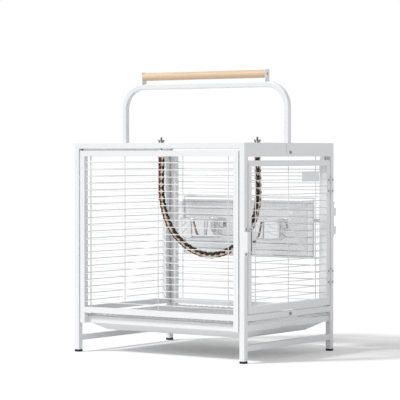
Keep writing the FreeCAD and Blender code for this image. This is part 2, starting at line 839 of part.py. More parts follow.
ferrules, rope_bolts, rope_fixings = [], [], []
for name, x in (("left", rope_x[0]), ("right", rope_x[1])):
    foot, bolt_spot = (x, middle_y, rope_top), (x, middle_y, bolt_foot)
    ferrule = rod(f"ferrule_{name}", "z", foot, size("ferrule_height"), size("ferrule_diameter") / 2)
    socket = rod(f"ferrule_socket_{name}", "z", bolt_spot, bolt_length, rope_bolt_radius)
    ferrules.append(cut(f"rope_ferrule_{name}", ferrule, [socket]))
    rope_bolts.append(rod(f"rope_bolt_{name}", "z", bolt_spot, bolt_length, rope_bolt_radius))
    under = bar_low - washer_thickness
    lock_width, lock_height = size("lock_nut_width"), size("lock_nut_height")
    nut_foot = (x, middle_y, under - lock_height)
    lock_bore = rope_bolt_radius + clearance
    rope_fixings += [
        washer(f"washer_over_{name}", x, bar_high),
        washer(f"washer_under_{name}", x, under),
        hex_nut(f"lock_nut_{name}", "z", nut_foot, lock_width, lock_height, lock_bore),
    ]
    node(wing_nut(f"wing_nut_{name}", x, bar_high + washer_thickness))
node(group("rope_ferrules", ferrules))
node(group("rope_bolts", rope_bolts))
node(group("rope_nuts_and_washers", rope_fixings))


def cord(name, points, diameter):
    """A round cord along straight runs joined by arcs that are as large as the runs allow."""
    edges, start, radii = [], points[0], []
    for before, corner, after in zip(points, points[1:], points[2:]):
        coming, going = corner - before, after - corner
        turn = coming.getAngle(going)
        shorter = min(coming.Length, going.Length)
        cut_back = ROPE_BEND_SHARE * shorter
        radius = cut_back / math.tan(turn / 2)
        radii.append(radius)
        coming.normalize()
        going.normalize()
        arc_start, arc_end = corner - coming * cut_back, corner + going * cut_back
        inward = (going - coming).normalize()
        halfway = corner + inward * radius * (1 / math.cos(turn / 2) - 1)
        edges.append(Part.LineSegment(start, arc_start).toShape())
        edges.append(Part.Arc(arc_start, halfway, arc_end).toShape())
        start = arc_end
    edges.append(Part.LineSegment(start, points[-1]).toShape())
    path = Part.Wire(edges)
    circle = Part.Circle(points[0], points[1] - points[0], diameter / 2).toShape()
    solid = path.makePipeShell([Part.Wire([circle])], True, False)
    section = math.pi * diameter**2 / 4
    print(name, "radii", [round(radius) for radius in radii], "length", round(path.Length, 1))
    print(name, "volume", round(solid.Volume), "section times length", round(section * path.Length))
    cord_object = doc.addObject("Part::Feature", name)
    cord_object.Shape = solid
    return cord_object


rope_route = [FreeCAD.Vector(rope_x[0].value, middle_y.value, rope_top.value)]
for across, up in ROPE_POINTS:
    rope_route.append(FreeCAD.Vector(middle_x.value + across, middle_y.value, rope_top.value + up))
rope_route.append(FreeCAD.Vector(rope_x[1].value, middle_y.value, rope_top.value))
node(cord("rope_perch", rope_route, size("rope_diameter").value))

# Door in the right short side
door_y = (inside_y[0] + size("door_gap"), inside_y[1] - size("door_gap"))
door_x = (right - tube_side, right)
foot_rail = (door_low, door_low + size("door_foot_rail"))
head_rail = (door_high - tube_side, door_high)
door_holes = face_holes("door", door_leaf_screws + case_screws)
door_rails = [foot_rail, head_rail]
node(panel_frame("door_frame", ("y", door_y), door_x, (door_low, door_high), door_rails, door_holes))

door_opening = (door_y[0] + tube_side, door_y[1] - tube_side)
door_width = door_opening[1] - door_opening[0]
door_upright_length = head_rail[0] - foot_rail[1]
door_wires = wires_in(door_upright_length, size("door_first"), size("door_pitch"), end_gap)
door_rows = [(0, door_width, size("door_first"), size("door_pitch"), door_wires, wire_radius)]
across_door = [short_inset, door_width / 2, door_width - short_inset]
door_uprights = [(y, 0, door_upright_length, wire_radius) for y in across_door]
door_grid = grid("door_wires", door_rows, door_uprights)
node(place(door_grid, right - wire_inset, door_opening[0], foot_rail[1], QUARTER_TURN))
plate_x = right - wire_inset + wire_radius
plate_end = door_opening[1] - size("plate_inset")
node(
    box(
        "door_plate",
        (plate_x, plate_x + size("plate_thickness")),
        (plate_end - size("plate_length"), plate_end),
        around(door_high - size("plate_drop"), size("plate_height")),
    )
)

# Door hinges: the post's leaf has the two outer knuckles, the door's leaf the one between
pin_radius = size("pin_diameter") / 2
knuckle_radius = size("knuckle_diameter") / 2
knuckle_height = size("knuckle_height")
leaf_height = size("leaf_height")
outer_height = (leaf_height - knuckle_height) / 2 - size("knuckle_gap")
leaf_clear = knuckle_radius + size("knuckle_gap")


def leaf(name, middle, direction, knuckles, screws):
    """A hinge leaf on the +X face: direction is where it lies from the pin, along Y."""
    x = (right, right + size("leaf_thickness"))
    plate_z = around(middle, leaf_height)
    reach = (leaf_clear, size("leaf_reach"))
    near, far = (hinge_y + direction * distance for distance in reach)
    plate_y = (near, far) if direction > 0 else (far, near)
    pieces = [box(f"{name}_plate", x, plate_y, plate_z)]
    for number, (low, high) in enumerate(knuckles):
        neck_y = (hinge_y, near) if direction > 0 else (near, hinge_y)
        pieces.append(box(f"{name}_neck_{number}", x, neck_y, (low, high)))
        foot = (hinge_x, hinge_y, low)
        pieces.append(rod(f"{name}_knuckle_{number}", "z", foot, high - low, knuckle_radius))
    bore = hole(f"{name}_bore", "z", (hinge_x, hinge_y, middle), leaf_height, pin_radius + clearance)
    screw_holes = []
    for number, spot in enumerate(screws):
        screw_holes.append(hole(f"{name}_hole_{number}", "x", (right, *spot), 2 * size("leaf_thickness")))
    return cut(name, fuse(f"{name}_whole", pieces), [bore] + screw_holes)


pin_head = size("pin_head")
post_leaves, door_leaves, hinge_pins = [], [], []
for number, middle in enumerate(hinge_middles):
    low, high = around(middle, leaf_height)
    heights = leaf_screw_heights[2 * number : 2 * number + 2]
    outer = [(low, low + outer_height), (high - outer_height, high)]
    inner = [around(middle, knuckle_height)]
    near_post = [(hinge_y + size("leaf_screw_reach"), z) for z in heights]
    near_door = [(hinge_y - size("leaf_screw_reach"), z) for z in heights]
    post_leaves.append(leaf(f"post_leaf_{number}", middle, 1, outer, near_post))
    door_leaves.append(leaf(f"door_leaf_{number}", middle, -1, inner, near_door))
    foot = (hinge_x, hinge_y, low - pin_head)
    shaft = rod(f"pin_shaft_{number}", "z", foot, leaf_height + 2 * pin_head, pin_radius)
    heads = [
        rod(f"pin_head_{number}_{i}", "z", (hinge_x, hinge_y, z), pin_head, knuckle_radius)
        for i, z in enumerate((low - pin_head, high))
    ]
    hinge_pins.append(fuse(f"hinge_pin_{number}", [shaft] + heads))
node(group("hinge_leaves_post", post_leaves))
node(group("hinge_leaves_door", door_leaves))
node(group("hinge_pins", hinge_pins))

# Door latch: a keeper on the post and a case on the door, with a bar that slides between them
latch_wall = size("latch_wall")
shell_x = (right, right + size("latch_reach"))
shell_z = around(latch_height, size("latch_case_length"))
inner_z = (shell_z[0] + latch_wall, shell_z[1] - latch_wall)
flange_z = around(latch_height, size("latch_plate_length"))
thumb = size("thumb_size")
bar_y = (case_y[0] - size("bar_proud"), case_y[0] - size("bar_proud") + size("bar_length"))
thumb_y = (bar_y[1] - thumb, bar_y[1])
play = size("bar_clearance")


def shell(name, y, hollow_y, screws, extra_cuts=()):
    """A folded box on the +X face between two flanges that are screwed down."""
    pieces = [
        box(f"{name}_box", shell_x, y, shell_z),
        box(f"{name}_flange", (right, right + latch_wall), y, flange_z),
    ]
    hollow = box(f"{name}_hollow", (right - latch_wall, shell_x[1] - latch_wall), hollow_y, inner_z)
    holes = [hole(f"{name}_hole_{i}", "x", (right, *spot), 2 * latch_wall) for i, spot in enumerate(screws)]
    return cut(name, fuse(f"{name}_whole", pieces), [hollow] + holes + list(extra_cuts))


node(shell("latch_keeper", keeper_y, (keeper_y[0] + latch_wall, keeper_y[1] + latch_wall), keeper_screws))
slot = box(
    "latch_case_slot",
    (shell_x[1] - 2 * latch_wall, shell_x[1] + latch_wall),
    (thumb_y[0] - size("bar_travel") - play, thumb_y[1] + play),
    around(latch_height, thumb + 2 * play),
)
node(shell("latch_case", case_y, (case_y[0] - latch_wall, case_y[1] - latch_wall), case_screws, [slot]))
bar_x = (right + play, shell_x[1] - latch_wall - play)
bar = box("latch_bar_flat", bar_x, bar_y, (inner_z[0] + play, inner_z[1] - play))
thumb_x = (bar_x[0], shell_x[1] + size("thumb_reach"))
node(fuse("latch_bar", [bar, box("latch_bar_thumb", thumb_x, thumb_y, around(latch_height, thumb))]))

leaf_face = right + size("leaf_thickness")
flange_face = right + latch_wall
for name, leaf_spots, latch_spots in (
    ("post_screws", post_leaf_screws, keeper_screws),
    ("door_screws", door_leaf_screws, case_screws),
):
    spots = [(leaf_face, *spot) for spot in leaf_spots] + [(flange_face, *spot) for spot in latch_spots]
    screws = [screw(f"{name}_{i}", "x", spot, 1, size("screw_length")) for i, spot in enumerate(spots)]
    node(group(name, screws))

# Runners on the stiles' lower ends carry the tray on their ledge and the grate on their shelf
runner_sheet, runner_top = size("runner_sheet"), panel_foot + size("runner_height")
runner_gap, tray_ledge = runner_sheet + size("screw_head_height"), size("tray_ledge")
runner_ledge = runner_gap + size("slide_play") + tray_ledge
runner_screws = []
for side, (face, inward) in long_sides.items():
    inner_face = face + inward * tube_side
    name = f"tray_runner_{side}"
    pieces = [
        box(f"{name}_web", panel_x, span(inner_face, inward, runner_sheet), (panel_foot, runner_top)),
        box(
            f"{name}_ledge",
            panel_x,
            span(inner_face, inward, runner_ledge),
            (panel_foot, panel_foot + runner_sheet),
        ),
        box(
            f"{name}_shelf",
            panel_x,
            span(inner_face, inward, size("runner_shelf")),
            (runner_top - runner_sheet, runner_top),
        ),
    ]
    holes = []
    for number, x in enumerate(runner_screw_x):
        spot = (x, inner_face + inward * runner_sheet, runner_screw_height)
        holes.append(hole(f"{name}_hole_{number}", "y", spot, 2 * runner_sheet))
        screw_name = f"runner_screw_{side}_{number}"
        runner_screws.append(screw(screw_name, "y", spot, inward, size("screw_length")))
    node(cut(name, fuse(f"{name}_whole", pieces), holes))
node(group("runner_screws", runner_screws))

# Tray: a sheet pan with sloped walls, a ledge round it, a rim on that and a taller front
lift, sheet_metal = size("slide_lift"), size("tray_sheet")
drawer_x = (inside_x[0] + size("drawer_back_gap") - tube_side, right - size("drawer_front_gap"))
tray_y = shrink(inside_y, runner_gap + size("slide_play"))
tray_low = panel_foot + runner_sheet + lift
tray_high = tray_low + sheet_metal
slope, drop = size("tray_slope"), size("tray_drop")


def frustum(name, x, y, z, inset):
    """A block that narrows downwards by inset on every side."""
    block = doc.addObject("Part::Wedge", name)
    width, depth = x[1] - x[0], y[1] - y[0]
    bind(block, Xmin=inset, Xmax=width - inset, X2min=0, X2max=width)
    bind(block, Zmin=inset, Zmax=depth - inset, Z2min=0, Z2max=depth)
    bind(block, Ymin=0, Ymax=z[1] - z[0])
    return place(block, x[0], y[1], z[0], UP_FROM_Y)


def tray():
    pan_x, pan_y = shrink(drawer_x, tray_ledge), shrink(tray_y, tray_ledge)
    floor = tray_low - drop
    rim_top = tray_low + size("tray_rim")
    flange = box("tray_flange", pan_x, pan_y, (tray_low, tray_high))
    slopes = frustum("tray_slopes", pan_x, pan_y, (floor, tray_high), slope)
    pan_hollow = frustum(
        "tray_pan_hollow",
        shrink(pan_x, sheet_metal),
        shrink(pan_y, sheet_metal),
        (floor + sheet_metal, tray_high + sheet_metal),
        slope,
    )
    pieces = [cut("tray_pan", fuse("tray_pan_whole", [flange, slopes]), [pan_hollow])]
    rim_hollow = box(
        "tray_rim_hollow",
        shrink(drawer_x, sheet_metal),
        shrink(tray_y, sheet_metal),
        (tray_high, rim_top + drop),
    )
    edges = {
        "left": ((drawer_x[0], pan_x[0]), tray_y),
        "right": ((pan_x[1], drawer_x[1]), tray_y),
        "front": (pan_x, (tray_y[0], pan_y[0])),
        "back": (pan_x, (pan_y[1], tray_y[1])),
    }
    for side, (x, y) in edges.items():
        edge = box(f"tray_edge_{side}_block", x, y, (tray_low, rim_top))
        if side == "right":
            front_x = (drawer_x[1] - sheet_metal, drawer_x[1])
            front = box("tray_front", front_x, tray_y, (tray_low, tray_low + size("tray_front_height")))
            edge = fuse("tray_edge_right_whole", [edge, front])
        pieces.append(cut(f"tray_edge_{side}", edge, [rim_hollow]))
    return group("tray", pieces)


node(tray())
pull_y = around(middle_y, size("pull_width"))
pull_z = (tray_high, tray_high + size("pull_height"))
pull_x = (drawer_x[1], drawer_x[1] + size("pull_reach"))
pull_pieces = [
    box("pull_back", (drawer_x[1], drawer_x[1] + sheet_metal), pull_y, pull_z),
    box("pull_lip", pull_x, pull_y, (tray_high, tray_high + sheet_metal)),
]
node(fuse("tray_pull", pull_pieces))

# Grate: a round wire frame with lapped wires across it and a tab to pull it by
grate_radius, frame_radius = size("grate_wire") / 2, size("grate_frame") / 2
grate_y = shrink(inside_y, runner_sheet + size("slide_play"))
grate_low = runner_top + lift
frame_z = grate_low + frame_radius
lap = frame_radius + grate_radius - size("weld_sink")
edge_y = shrink(grate_y, frame_radius)
edge_x = shrink(drawer_x, frame_radius)
grate_length = edge_x[1] - edge_x[0]
grate_wires = wires_in(grate_length, size("grate_end_gap"), size("grate_pitch"), size("grate_end_gap"))
wires_foot = edge_x[0] + (grate_length - (grate_wires - 1) * size("grate_pitch")) / 2


def grate():
    pieces = []
    for number, y in enumerate(edge_y):
        pieces.append(rod(f"grate_side_{number}", "x", (edge_x[0], y, frame_z), grate_length, frame_radius))
    for number, x in enumerate(edge_x):
        foot = (x, grate_y[0], frame_z)
        pieces.append(rod(f"grate_end_{number}", "y", foot, grate_y[1] - grate_y[0], frame_radius))
    for number, side in enumerate((-1, 1)):
        foot = (edge_x[0], middle_y + side * size("grate_stay"), frame_z)
        pieces.append(rod(f"grate_stay_{number}", "x", foot, grate_length, frame_radius))
    rows = [(0, grate_y[1] - grate_y[0], 0, size("grate_pitch"), grate_wires, grate_radius)]
    wires = place(grid("grate_wires", rows, []), wires_foot, grate_y[0], frame_z + lap, ROUND_THE_AXES)
    tab_x = (edge_x[1] + frame_radius - sheet_metal, edge_x[1] + frame_radius)
    tab = box("grate_tab", tab_x, pull_y, (grate_low, grate_low + size("grate_tab_height")))
    return fuse("grate", pieces + [wires, tab])


node(grate())

# Feeder door: a welded wire frame on two sleeves round the back panel's upright
feeder_radius = size("feeder_wire") / 2
feeder_y = back - wire_inset - upright_step
pivot_x = between_stiles[0] + long_uprights[0]
sleeve_radius, sleeve_height = size("sleeve_diameter") / 2, size("sleeve_height")
pivot_gap = sleeve_radius + feeder_radius - size("weld_sink")
feeder_x = (pivot_x + pivot_gap, between_stiles[0] + long_uprights[2] - pivot_gap)
feeder_z = shrink((rail_high + opening_low, rail_high + opening_high), size("feeder_margin"))
feeder_span = feeder_x[1] - feeder_x[0]
tab_middle = rail_high + opening_low + (size("tab_row") + 1) * row_pitch
tab_y = (back + size("tab_gap"), back + size("tab_gap") + size("tab_thickness"))
tab_z = around(tab_middle, size("tab_height"))
loop_x = (right - size("loop_width"), right)
rod_x, rod_y = (loop_x[0] + loop_x[1]) / 2, back + (size("loop_reach") - size("loop_strip")) / 2
finger_end = rod_x - size("finger_reach")


def feeder_door():
    pieces = [
        rod(f"feeder_rail_{i}", "x", (feeder_x[0], feeder_y, z), feeder_span, feeder_radius)
        for i, z in enumerate(feeder_z)
    ]
    stile_foot = feeder_z[0] - feeder_radius
    stile_length = feeder_z[1] - feeder_z[0] + 2 * feeder_radius
    pieces += [
        rod(f"feeder_stile_{i}", "z", (x, feeder_y, stile_foot), stile_length, feeder_radius)
        for i, x in enumerate((*feeder_x, middle_x))
    ]
    first = rail_high + stub_first - feeder_z[0]
    rows = [(0, feeder_span, first, row_pitch, stub_count, wire_radius)]
    pieces.append(place(grid("feeder_rows", rows, []), feeder_x[0], back - wire_inset, feeder_z[0]))
    for number, gap in enumerate((size("sleeve_row"), size("feeder_gaps") - size("sleeve_row"))):
        foot = rail_high + opening_low + gap * row_pitch - sleeve_height / 2
        spot = (pivot_x, feeder_y, foot)
        pieces.append(rod(f"feeder_sleeve_{number}", "z", spot, sleeve_height, sleeve_radius))
    spot, reach = (pivot_x, feeder_y, feeder_z[0]), feeder_z[1] - feeder_z[0]
    bore = hole("feeder_bore", "z", spot, reach, wire_radius + size("sleeve_clearance"))
    frame = cut("feeder_frame", fuse("feeder_frame_whole", pieces), [bore])
    web_x = around(feeder_x[1], size("tab_thickness"))
    web = box("feeder_web", web_x, (feeder_y + feeder_radius, tab_y[1]), tab_z)
    tab = box("feeder_tab", (web_x[1], feeder_x[1] + size("tab_reach")), tab_y, tab_z)
    return group("feeder_door", [frame, web, tab])


node(feeder_door())

# Feeder latch: a rod with a finger drops through two loops on the back right post
loop_strip = size("loop_strip")
loops, loop_heights = [], []
for number, rise in enumerate((-0.5, 0.5)):
    z = around(tab_middle + rise * size("loop_spacing"), size("loop_height"))
    block = box(f"loop_block_{number}", loop_x, (back, back + size("loop_reach")), z)
    inside = (back - loop_strip, back + size("loop_reach") - loop_strip)
    gap = box(f"loop_gap_{number}", shrink(loop_x, loop_strip), inside, z)
    loops.append(cut(f"feeder_loop_{number}", block, [gap]))
    loop_heights.append(z)
node(group("feeder_loops", loops))
drop_travel = size("drop_travel")
head_low = loop_heights[1][1] + drop_travel + lift
rod_low = loop_heights[0][0] - size("drop_rod_tail")
finger_z = (tab_z[1] + size("tab_gap"), loop_heights[1][0] - size("finger_gap"))
drop_foot, drop_length = (rod_x, rod_y, rod_low), head_low - rod_low
drop_radius = size("drop_rod_diameter") / 2
head_radius = size("drop_head_diameter") / 2
shaft = rod("drop_rod_shaft", "z", drop_foot, drop_length, drop_radius)
head = rod("drop_rod_head", "z", (rod_x, rod_y, head_low), size("drop_head_height"), head_radius)
finger = box("drop_rod_finger_bar", (finger_end, rod_x), around(rod_y, size("finger_thickness")), finger_z)
seat = rod("drop_rod_seat", "z", drop_foot, drop_length, drop_radius)
drop_rod = [fuse("drop_rod_round", [shaft, head]), cut("drop_rod_finger", finger, [seat])]
node(group("feeder_drop_rod", drop_rod))

# Splash guard: a clear sheet with a thicker lip along its top and a wing at each end
guard_thickness = size("guard_thickness")
guard_y = (feeder_y - feeder_radius - guard_thickness, feeder_y - feeder_radius)
guard_x = (feeder_x[0] - size("guard_overlap"), feeder_x[1] + size("guard_overlap"))
guard_foot = rail_high + opening_low + size("guard_foot_gap")
guard_top = rail_high + opening_high - size("guard_top_gap")
cup_top = guard_top - size("cup_drop")
cup_radius = size("cup_diameter") / 2
cup_y = guard_y[0] - size("cup_gap") - cup_radius
cup_x = [middle_x - size("cup_spacing") / 2, middle_x + size("cup_spacing") / 2]
plate_spread = size("ring_screw_spacing")
ring_z = cup_top - size("cup_wall") - lift - size("ring_wire") / 2
ring_screw_z = ring_z - size("ring_screw_drop")
ring_screw_spots = [(x + side * plate_spread / 2, ring_screw_z) for x in cup_x for side in (-1, 1)]


def wing(name, x):
    """One end of the guard, with its lower edge cut away on the slant."""
    body = doc.addObject("PartDesign::Body", name)
    sketch = sketch_on(body, "YZ_Plane", f"{name}_outline")
    depth, bevel = size("wing_depth"), size("wing_bevel")
    shoulder = guard_top - size("wing_fall")
    nose = shoulder - size("wing_nose")
    outline = [
        (0, guard_foot),
        (0, guard_top),
        (bevel - depth, shoulder),
        (-depth, nose),
    ]
    draw_outline(sketch, outline)
    pad(body, sketch, guard_thickness)
    return place(body, x - guard_thickness / 2, guard_y[0], 0)


def splash_guard():
    lip_y = (guard_y[0] - size("guard_lip_thickness"), guard_y[0])
    pieces = [
        box("guard_sheet", guard_x, guard_y, (guard_foot, guard_top)),
        box("guard_lip", guard_x, lip_y, (guard_top - size("guard_lip_height"), guard_top)),
        wing("guard_wing_left", guard_x[0] + size("wing_inset")),
        wing("guard_wing_right", guard_x[1] - size("wing_inset")),
    ]
    holes = [
        hole(f"guard_hole_{i}", "y", (x, guard_y[1], z), 2 * guard_thickness)
        for i, (x, z) in enumerate(ring_screw_spots)
    ]
    return cut("splash_guard", fuse("splash_guard_whole", pieces), holes)


node(splash_guard())

# Cups: each hangs by its lip in a wire ring, which two arms join to a plate on the guard
cup_depth, cup_wall, lip_width = size("cup_depth"), size("cup_wall"), size("cup_lip")
mouth = cup_radius - lip_width
base = mouth - size("cup_taper")
ring_radius = mouth + size("ring_clearance") + size("ring_wire") / 2
ring_plate_y = (guard_y[0] - size("ring_plate_thickness"), guard_y[0])


def cup(name, x):
    """A spun steel cup: one outline turned about its axis."""
    body = doc.addObject("PartDesign::Body", name)
    sketch = sketch_on(body, "XZ_Plane", f"{name}_outline")
    bevel = size("cup_bevel")
    outline = [
        (0, 0),
        (base - bevel, 0),
        (base, bevel),
        (mouth, cup_depth - cup_wall),
        (cup_radius, cup_depth - cup_wall),
        (cup_radius, cup_depth),
        (mouth - cup_wall, cup_depth),
        (base - cup_wall, bevel),
        (base - bevel - cup_wall, cup_wall),
        (0, cup_wall),
    ]
    draw_outline(sketch, outline)
    turned = body.newObject("PartDesign::Revolution", f"{name}_turned")
    turned.Profile = sketch
    turned.ReferenceAxis = (sketch, ["V_Axis"])
    turned.Angle = 360
    body.Tip = turned
    return place(body, x, cup_y, cup_top - cup_depth)


def cup_ring(name, x, screws):
    ring = doc.addObject("Part::Torus", f"{name}_loop")
    wire = size("ring_wire") / 2
    bind(ring, Radius1=ring_radius, Radius2=wire)
    place(ring, x, cup_y, ring_z)
    pieces = [ring]
    half = size("ring_arm_spacing") / 2
    reach = Measure(
        math.sqrt(ring_radius.value**2 - half.value**2), f"sqrt({ring_radius.text} ^ 2 - {half.text} ^ 2)"
    )
    for number, side in enumerate((-1, 1)):
        foot = (x + side * half, cup_y + reach, ring_z)
        pieces.append(rod(f"{name}_arm_{number}", "y", foot, ring_plate_y[0] - foot[1], wire))
    plate_top = ring_z + wire
    plate_z = (plate_top - size("ring_plate_height"), plate_top)
    pieces.append(box(f"{name}_plate", around(x, size("ring_plate_width")), ring_plate_y, plate_z))
    holes = [
        hole(f"{name}_hole_{i}", "y", (place_x, ring_plate_y[0], z), 2 * size("ring_plate_thickness"))
        for i, (place_x, z) in enumerate(screws)
    ]
    return cut(name, fuse(f"{name}_whole", pieces), holes)


for number, side in enumerate(("left", "right")):
    node(cup(f"cup_{side}", cup_x[number]))
    node(cup_ring(f"cup_ring_{side}", cup_x[number], ring_screw_spots[2 * number : 2 * number + 2]))

ring_screws, ring_nuts = [], []
ring_screw_length = size("ring_plate_thickness") + guard_thickness + size("ring_nut_height")
for number, (x, z) in enumerate(ring_screw_spots):
    ring_screws.append(screw(f"ring_screw_{number}", "y", (x, ring_plate_y[0], z), -1, ring_screw_length))
    nut, across = (x, guard_y[1], z), size("ring_nut_width")
    thickness, bore = size("ring_nut_height"), screw_radius + clearance
    ring_nuts.append(hex_nut(f"ring_nut_{number}", "y", nut, across, thickness, bore))
node(group("ring_screws", ring_screws))
node(group("ring_nuts", ring_nuts))

# Every object must have come out whole before anything is written
doc.recompute()
for thing in doc.Objects:
    if "Invalid" in thing.State or "Error" in thing.State:
        raise RuntimeError(f"{thing.Label} failed: {thing.State}")
os.makedirs("parts", exist_ok=True)
for name, thing in nodes.items():
    shape = thing.Shape
    if shape.isNull() or not shape.isValid():
        raise RuntimeError(f"{name} has no valid shape")
    print(f"{name}: {len(shape.Solids)} solids, {shape.Volume:.0f} cubic millimetres")
    shape.exportStep(f"parts/{name}.step")
print(len(nodes), "nodes")
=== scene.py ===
import json
import math

import bmesh
import bpy
import numpy as np
from bpy.props import FloatProperty, FloatVectorProperty, IntProperty, PointerProperty
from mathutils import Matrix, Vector


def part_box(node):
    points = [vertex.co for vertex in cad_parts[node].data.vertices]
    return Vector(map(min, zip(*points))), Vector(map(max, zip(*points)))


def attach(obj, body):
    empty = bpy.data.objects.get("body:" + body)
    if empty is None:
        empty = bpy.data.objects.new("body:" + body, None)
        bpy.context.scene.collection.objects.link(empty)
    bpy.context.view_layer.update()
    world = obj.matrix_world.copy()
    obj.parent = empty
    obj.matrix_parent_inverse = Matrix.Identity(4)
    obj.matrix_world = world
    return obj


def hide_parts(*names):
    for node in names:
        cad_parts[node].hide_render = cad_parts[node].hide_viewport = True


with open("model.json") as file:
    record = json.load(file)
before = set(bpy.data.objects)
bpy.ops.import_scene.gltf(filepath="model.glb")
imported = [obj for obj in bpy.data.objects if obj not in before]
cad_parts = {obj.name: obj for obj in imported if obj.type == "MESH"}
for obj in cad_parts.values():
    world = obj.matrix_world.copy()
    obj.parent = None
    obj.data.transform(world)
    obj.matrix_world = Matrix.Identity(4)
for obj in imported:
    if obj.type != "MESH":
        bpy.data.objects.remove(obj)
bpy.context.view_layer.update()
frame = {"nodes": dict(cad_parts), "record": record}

bl_info = {
    "name": "Bird cage",
    "version": (1, 0, 0),
    "blender": (4, 5, 0),
    "location": "3D View > Sidebar > Bird cage",
    "description": "Painted, turned and twisted pieces of a wire bird cage on its square tube frame",
    "category": "Add Mesh",
}

WORLD_X, WORLD_Y, WORLD_Z = np.eye(3)


def lengths(name, text, metres, **more):
    """A size in metres that a user can change."""
    settings = {"unit": "LENGTH", "min": 0.0, "precision": 4, **more}
    return FloatProperty(name=name, description=text, default=metres, **settings)


def shade(name, text, colour):
    """A colour that a user can change."""
    settings = {"subtype": "COLOR", "size": 3, "min": 0, "max": 1}
    return FloatVectorProperty(name=name, description=text, default=colour, **settings)


# Sizes and colours


class FrameSizes(bpy.types.PropertyGroup):
    tube_edge: lengths("Tube edge", "Radius along the edges of the square tubes", 0.0014)
    band_edge: lengths("Band edge", "Radius along the edges of the deep top bands", 0.0013)
    sheet_edge: lengths("Sheet edge", "Radius along the edges of thin plates", 0.00035)
    handle_edge: lengths("Handle edge", "Radius along the edges of the handle's tube", 0.0024)
    handle_bend: lengths("Handle bend", "Outer radius of the handle's two bends", 0.07)
    cap_edge: lengths("Cap edge", "Radius round the sole of a foot cap", 0.0016)


class WireSizes(bpy.types.PropertyGroup):
    thickness: lengths("Wire thickness", "Diameter of the panels' wires", 0.0023)
    pitch: lengths("Panel pitch", "Distance between the panels' wires", 0.0188)
    first: lengths("First wire", "Height of the lowest wire over the side rail", 0.0146)
    door_pitch: lengths("Door pitch", "Distance between the door's wires", 0.0192)
    door_first: lengths("First door wire", "Height of the door's lowest wire over its foot rail", 0.016)
    long_inset: lengths("Long inset", "Distance of an outer upright from a long panel's stile", 0.02)
    short_inset: lengths("Short inset", "Distance of an outer upright from a short panel's stile", 0.027)
    weld: lengths("Weld size", "Radius of the painted weld where two wires cross", 0.00175)
    feeder_row: IntProperty(name="Feeder row", description="Wires below the feeder opening", default=6, min=1)
    feeder_gaps: IntProperty(name="Feeder gaps", description="Gaps that the opening takes", default=9, min=2)


class RopeSizes(bpy.types.PropertyGroup):
    thickness: lengths("Rope thickness", "Diameter over the rope's strands", 0.019)
    lay: lengths("Lay", "Length of one full turn of the whole plait", 1.52)
    lay_start: lengths("Lay start", "Where along the rope the strands' angles are given", 0.1)
    plait: lengths("Plait", "Length along the rope of one crossing to and fro of a strand", 0.019)
    sway: FloatProperty(name="Sway", description="Swing of a strand to each side, in degrees", default=21.0)
    weave: lengths("Weave", "How far a strand rises over and dips under its neighbours", 0.0013)
    strand_width: lengths("Strand width", "Width of one flattened strand", 0.006)
    strand_depth: lengths("Strand depth", "Depth of one flattened strand", 0.0038)
    yarn_lay: lengths("Yarn lay", "Length of one full turn of the yarns in a strand", 0.024)
    step: lengths("Ring step", "Distance between two rings of a strand's mesh", 0.0014)
    yarns: IntProperty(name="Yarns", description="Yarns round one strand", default=5, min=3)
    sides: IntProperty(name="Sides", description="Points round one strand", default=18, min=12)


class CupSizes(bpy.types.PropertyGroup):
    wall: lengths("Wall", "Thickness of the spun steel", 0.0008)
    lip: lengths("Lip", "How far the rolled lip stands out", 0.003)
    taper: lengths("Taper", "How much narrower the cup is at its foot", 0.003)
    foot_bend: lengths("Foot bend", "Radius between wall and floor", 0.010)
    sides: IntProperty(name="Sides", description="Points round a cup", default=96, min=24)


class Colours(bpy.types.PropertyGroup):
    paint: shade("Paint", "Powder coat on the tubes and plates", (0.82, 0.825, 0.84))
    wire_paint: shade("Wire paint", "Powder coat on the wires", (0.80, 0.805, 0.815))
    rubber: shade("Foot caps", "Moulded foot caps", (0.007, 0.007, 0.008))
    wood: shade("Wood", "Early wood of the dowel", (0.80, 0.64, 0.47))
    wood_dark: shade("Late wood", "Late wood and pores of the dowel", (0.64, 0.46, 0.30))
    zinc: shade("Zinc", "Plated screws, nuts and bolts", (0.30, 0.305, 0.315))
    steel: shade("Cup steel", "Polished stainless steel", (0.78, 0.785, 0.80))
    ferrule: shade("Ferrules", "Moulded ferrules at the rope's ends", (0.88, 0.87, 0.84))
    # The guard colour is painted shade: a grey that the guard's broad face is tinted with, for the shadowed
    # cage seen through it.
    guard: shade("Guard", "Clear splash guard", (0.40, 0.43, 0.46))
    rope_cream: shade("Cream strand", "Undyed strand of the rope", (0.90, 0.74, 0.56))
    rope_wine: shade("Wine strand", "Dyed dark red strand of the rope", (0.12, 0.015, 0.015))
    rope_black: shade("Black strand", "Dyed dark strand of the rope", (0.012, 0.011, 0.012))
    rope_rust: shade("Rust strand", "Dyed rust strand of the rope", (0.28, 0.045, 0.022))
    floor: shade("Floor", "Pale studio floor", (0.88, 0.88, 0.88))


GROUPS = {
    "cage_frame": FrameSizes,
    "cage_wires": WireSizes,
    "cage_rope": RopeSizes,
    "cage_cups": CupSizes,
    "cage_colours": Colours,
}


# Meshes


def to_mesh(name, points, faces, sharp=40.0):
    """A mesh from points and faces, smooth but for edges that turn by more than sharp degrees."""
    mesh = bpy.data.meshes.new(name)
    mesh.from_pydata(np.asarray(points, float).tolist(), [], faces)
    mesh.validate()
    mesh.update()
    mesh.shade_smooth()
    mesh.set_sharp_from_angle(angle=math.radians(sharp))
    return mesh


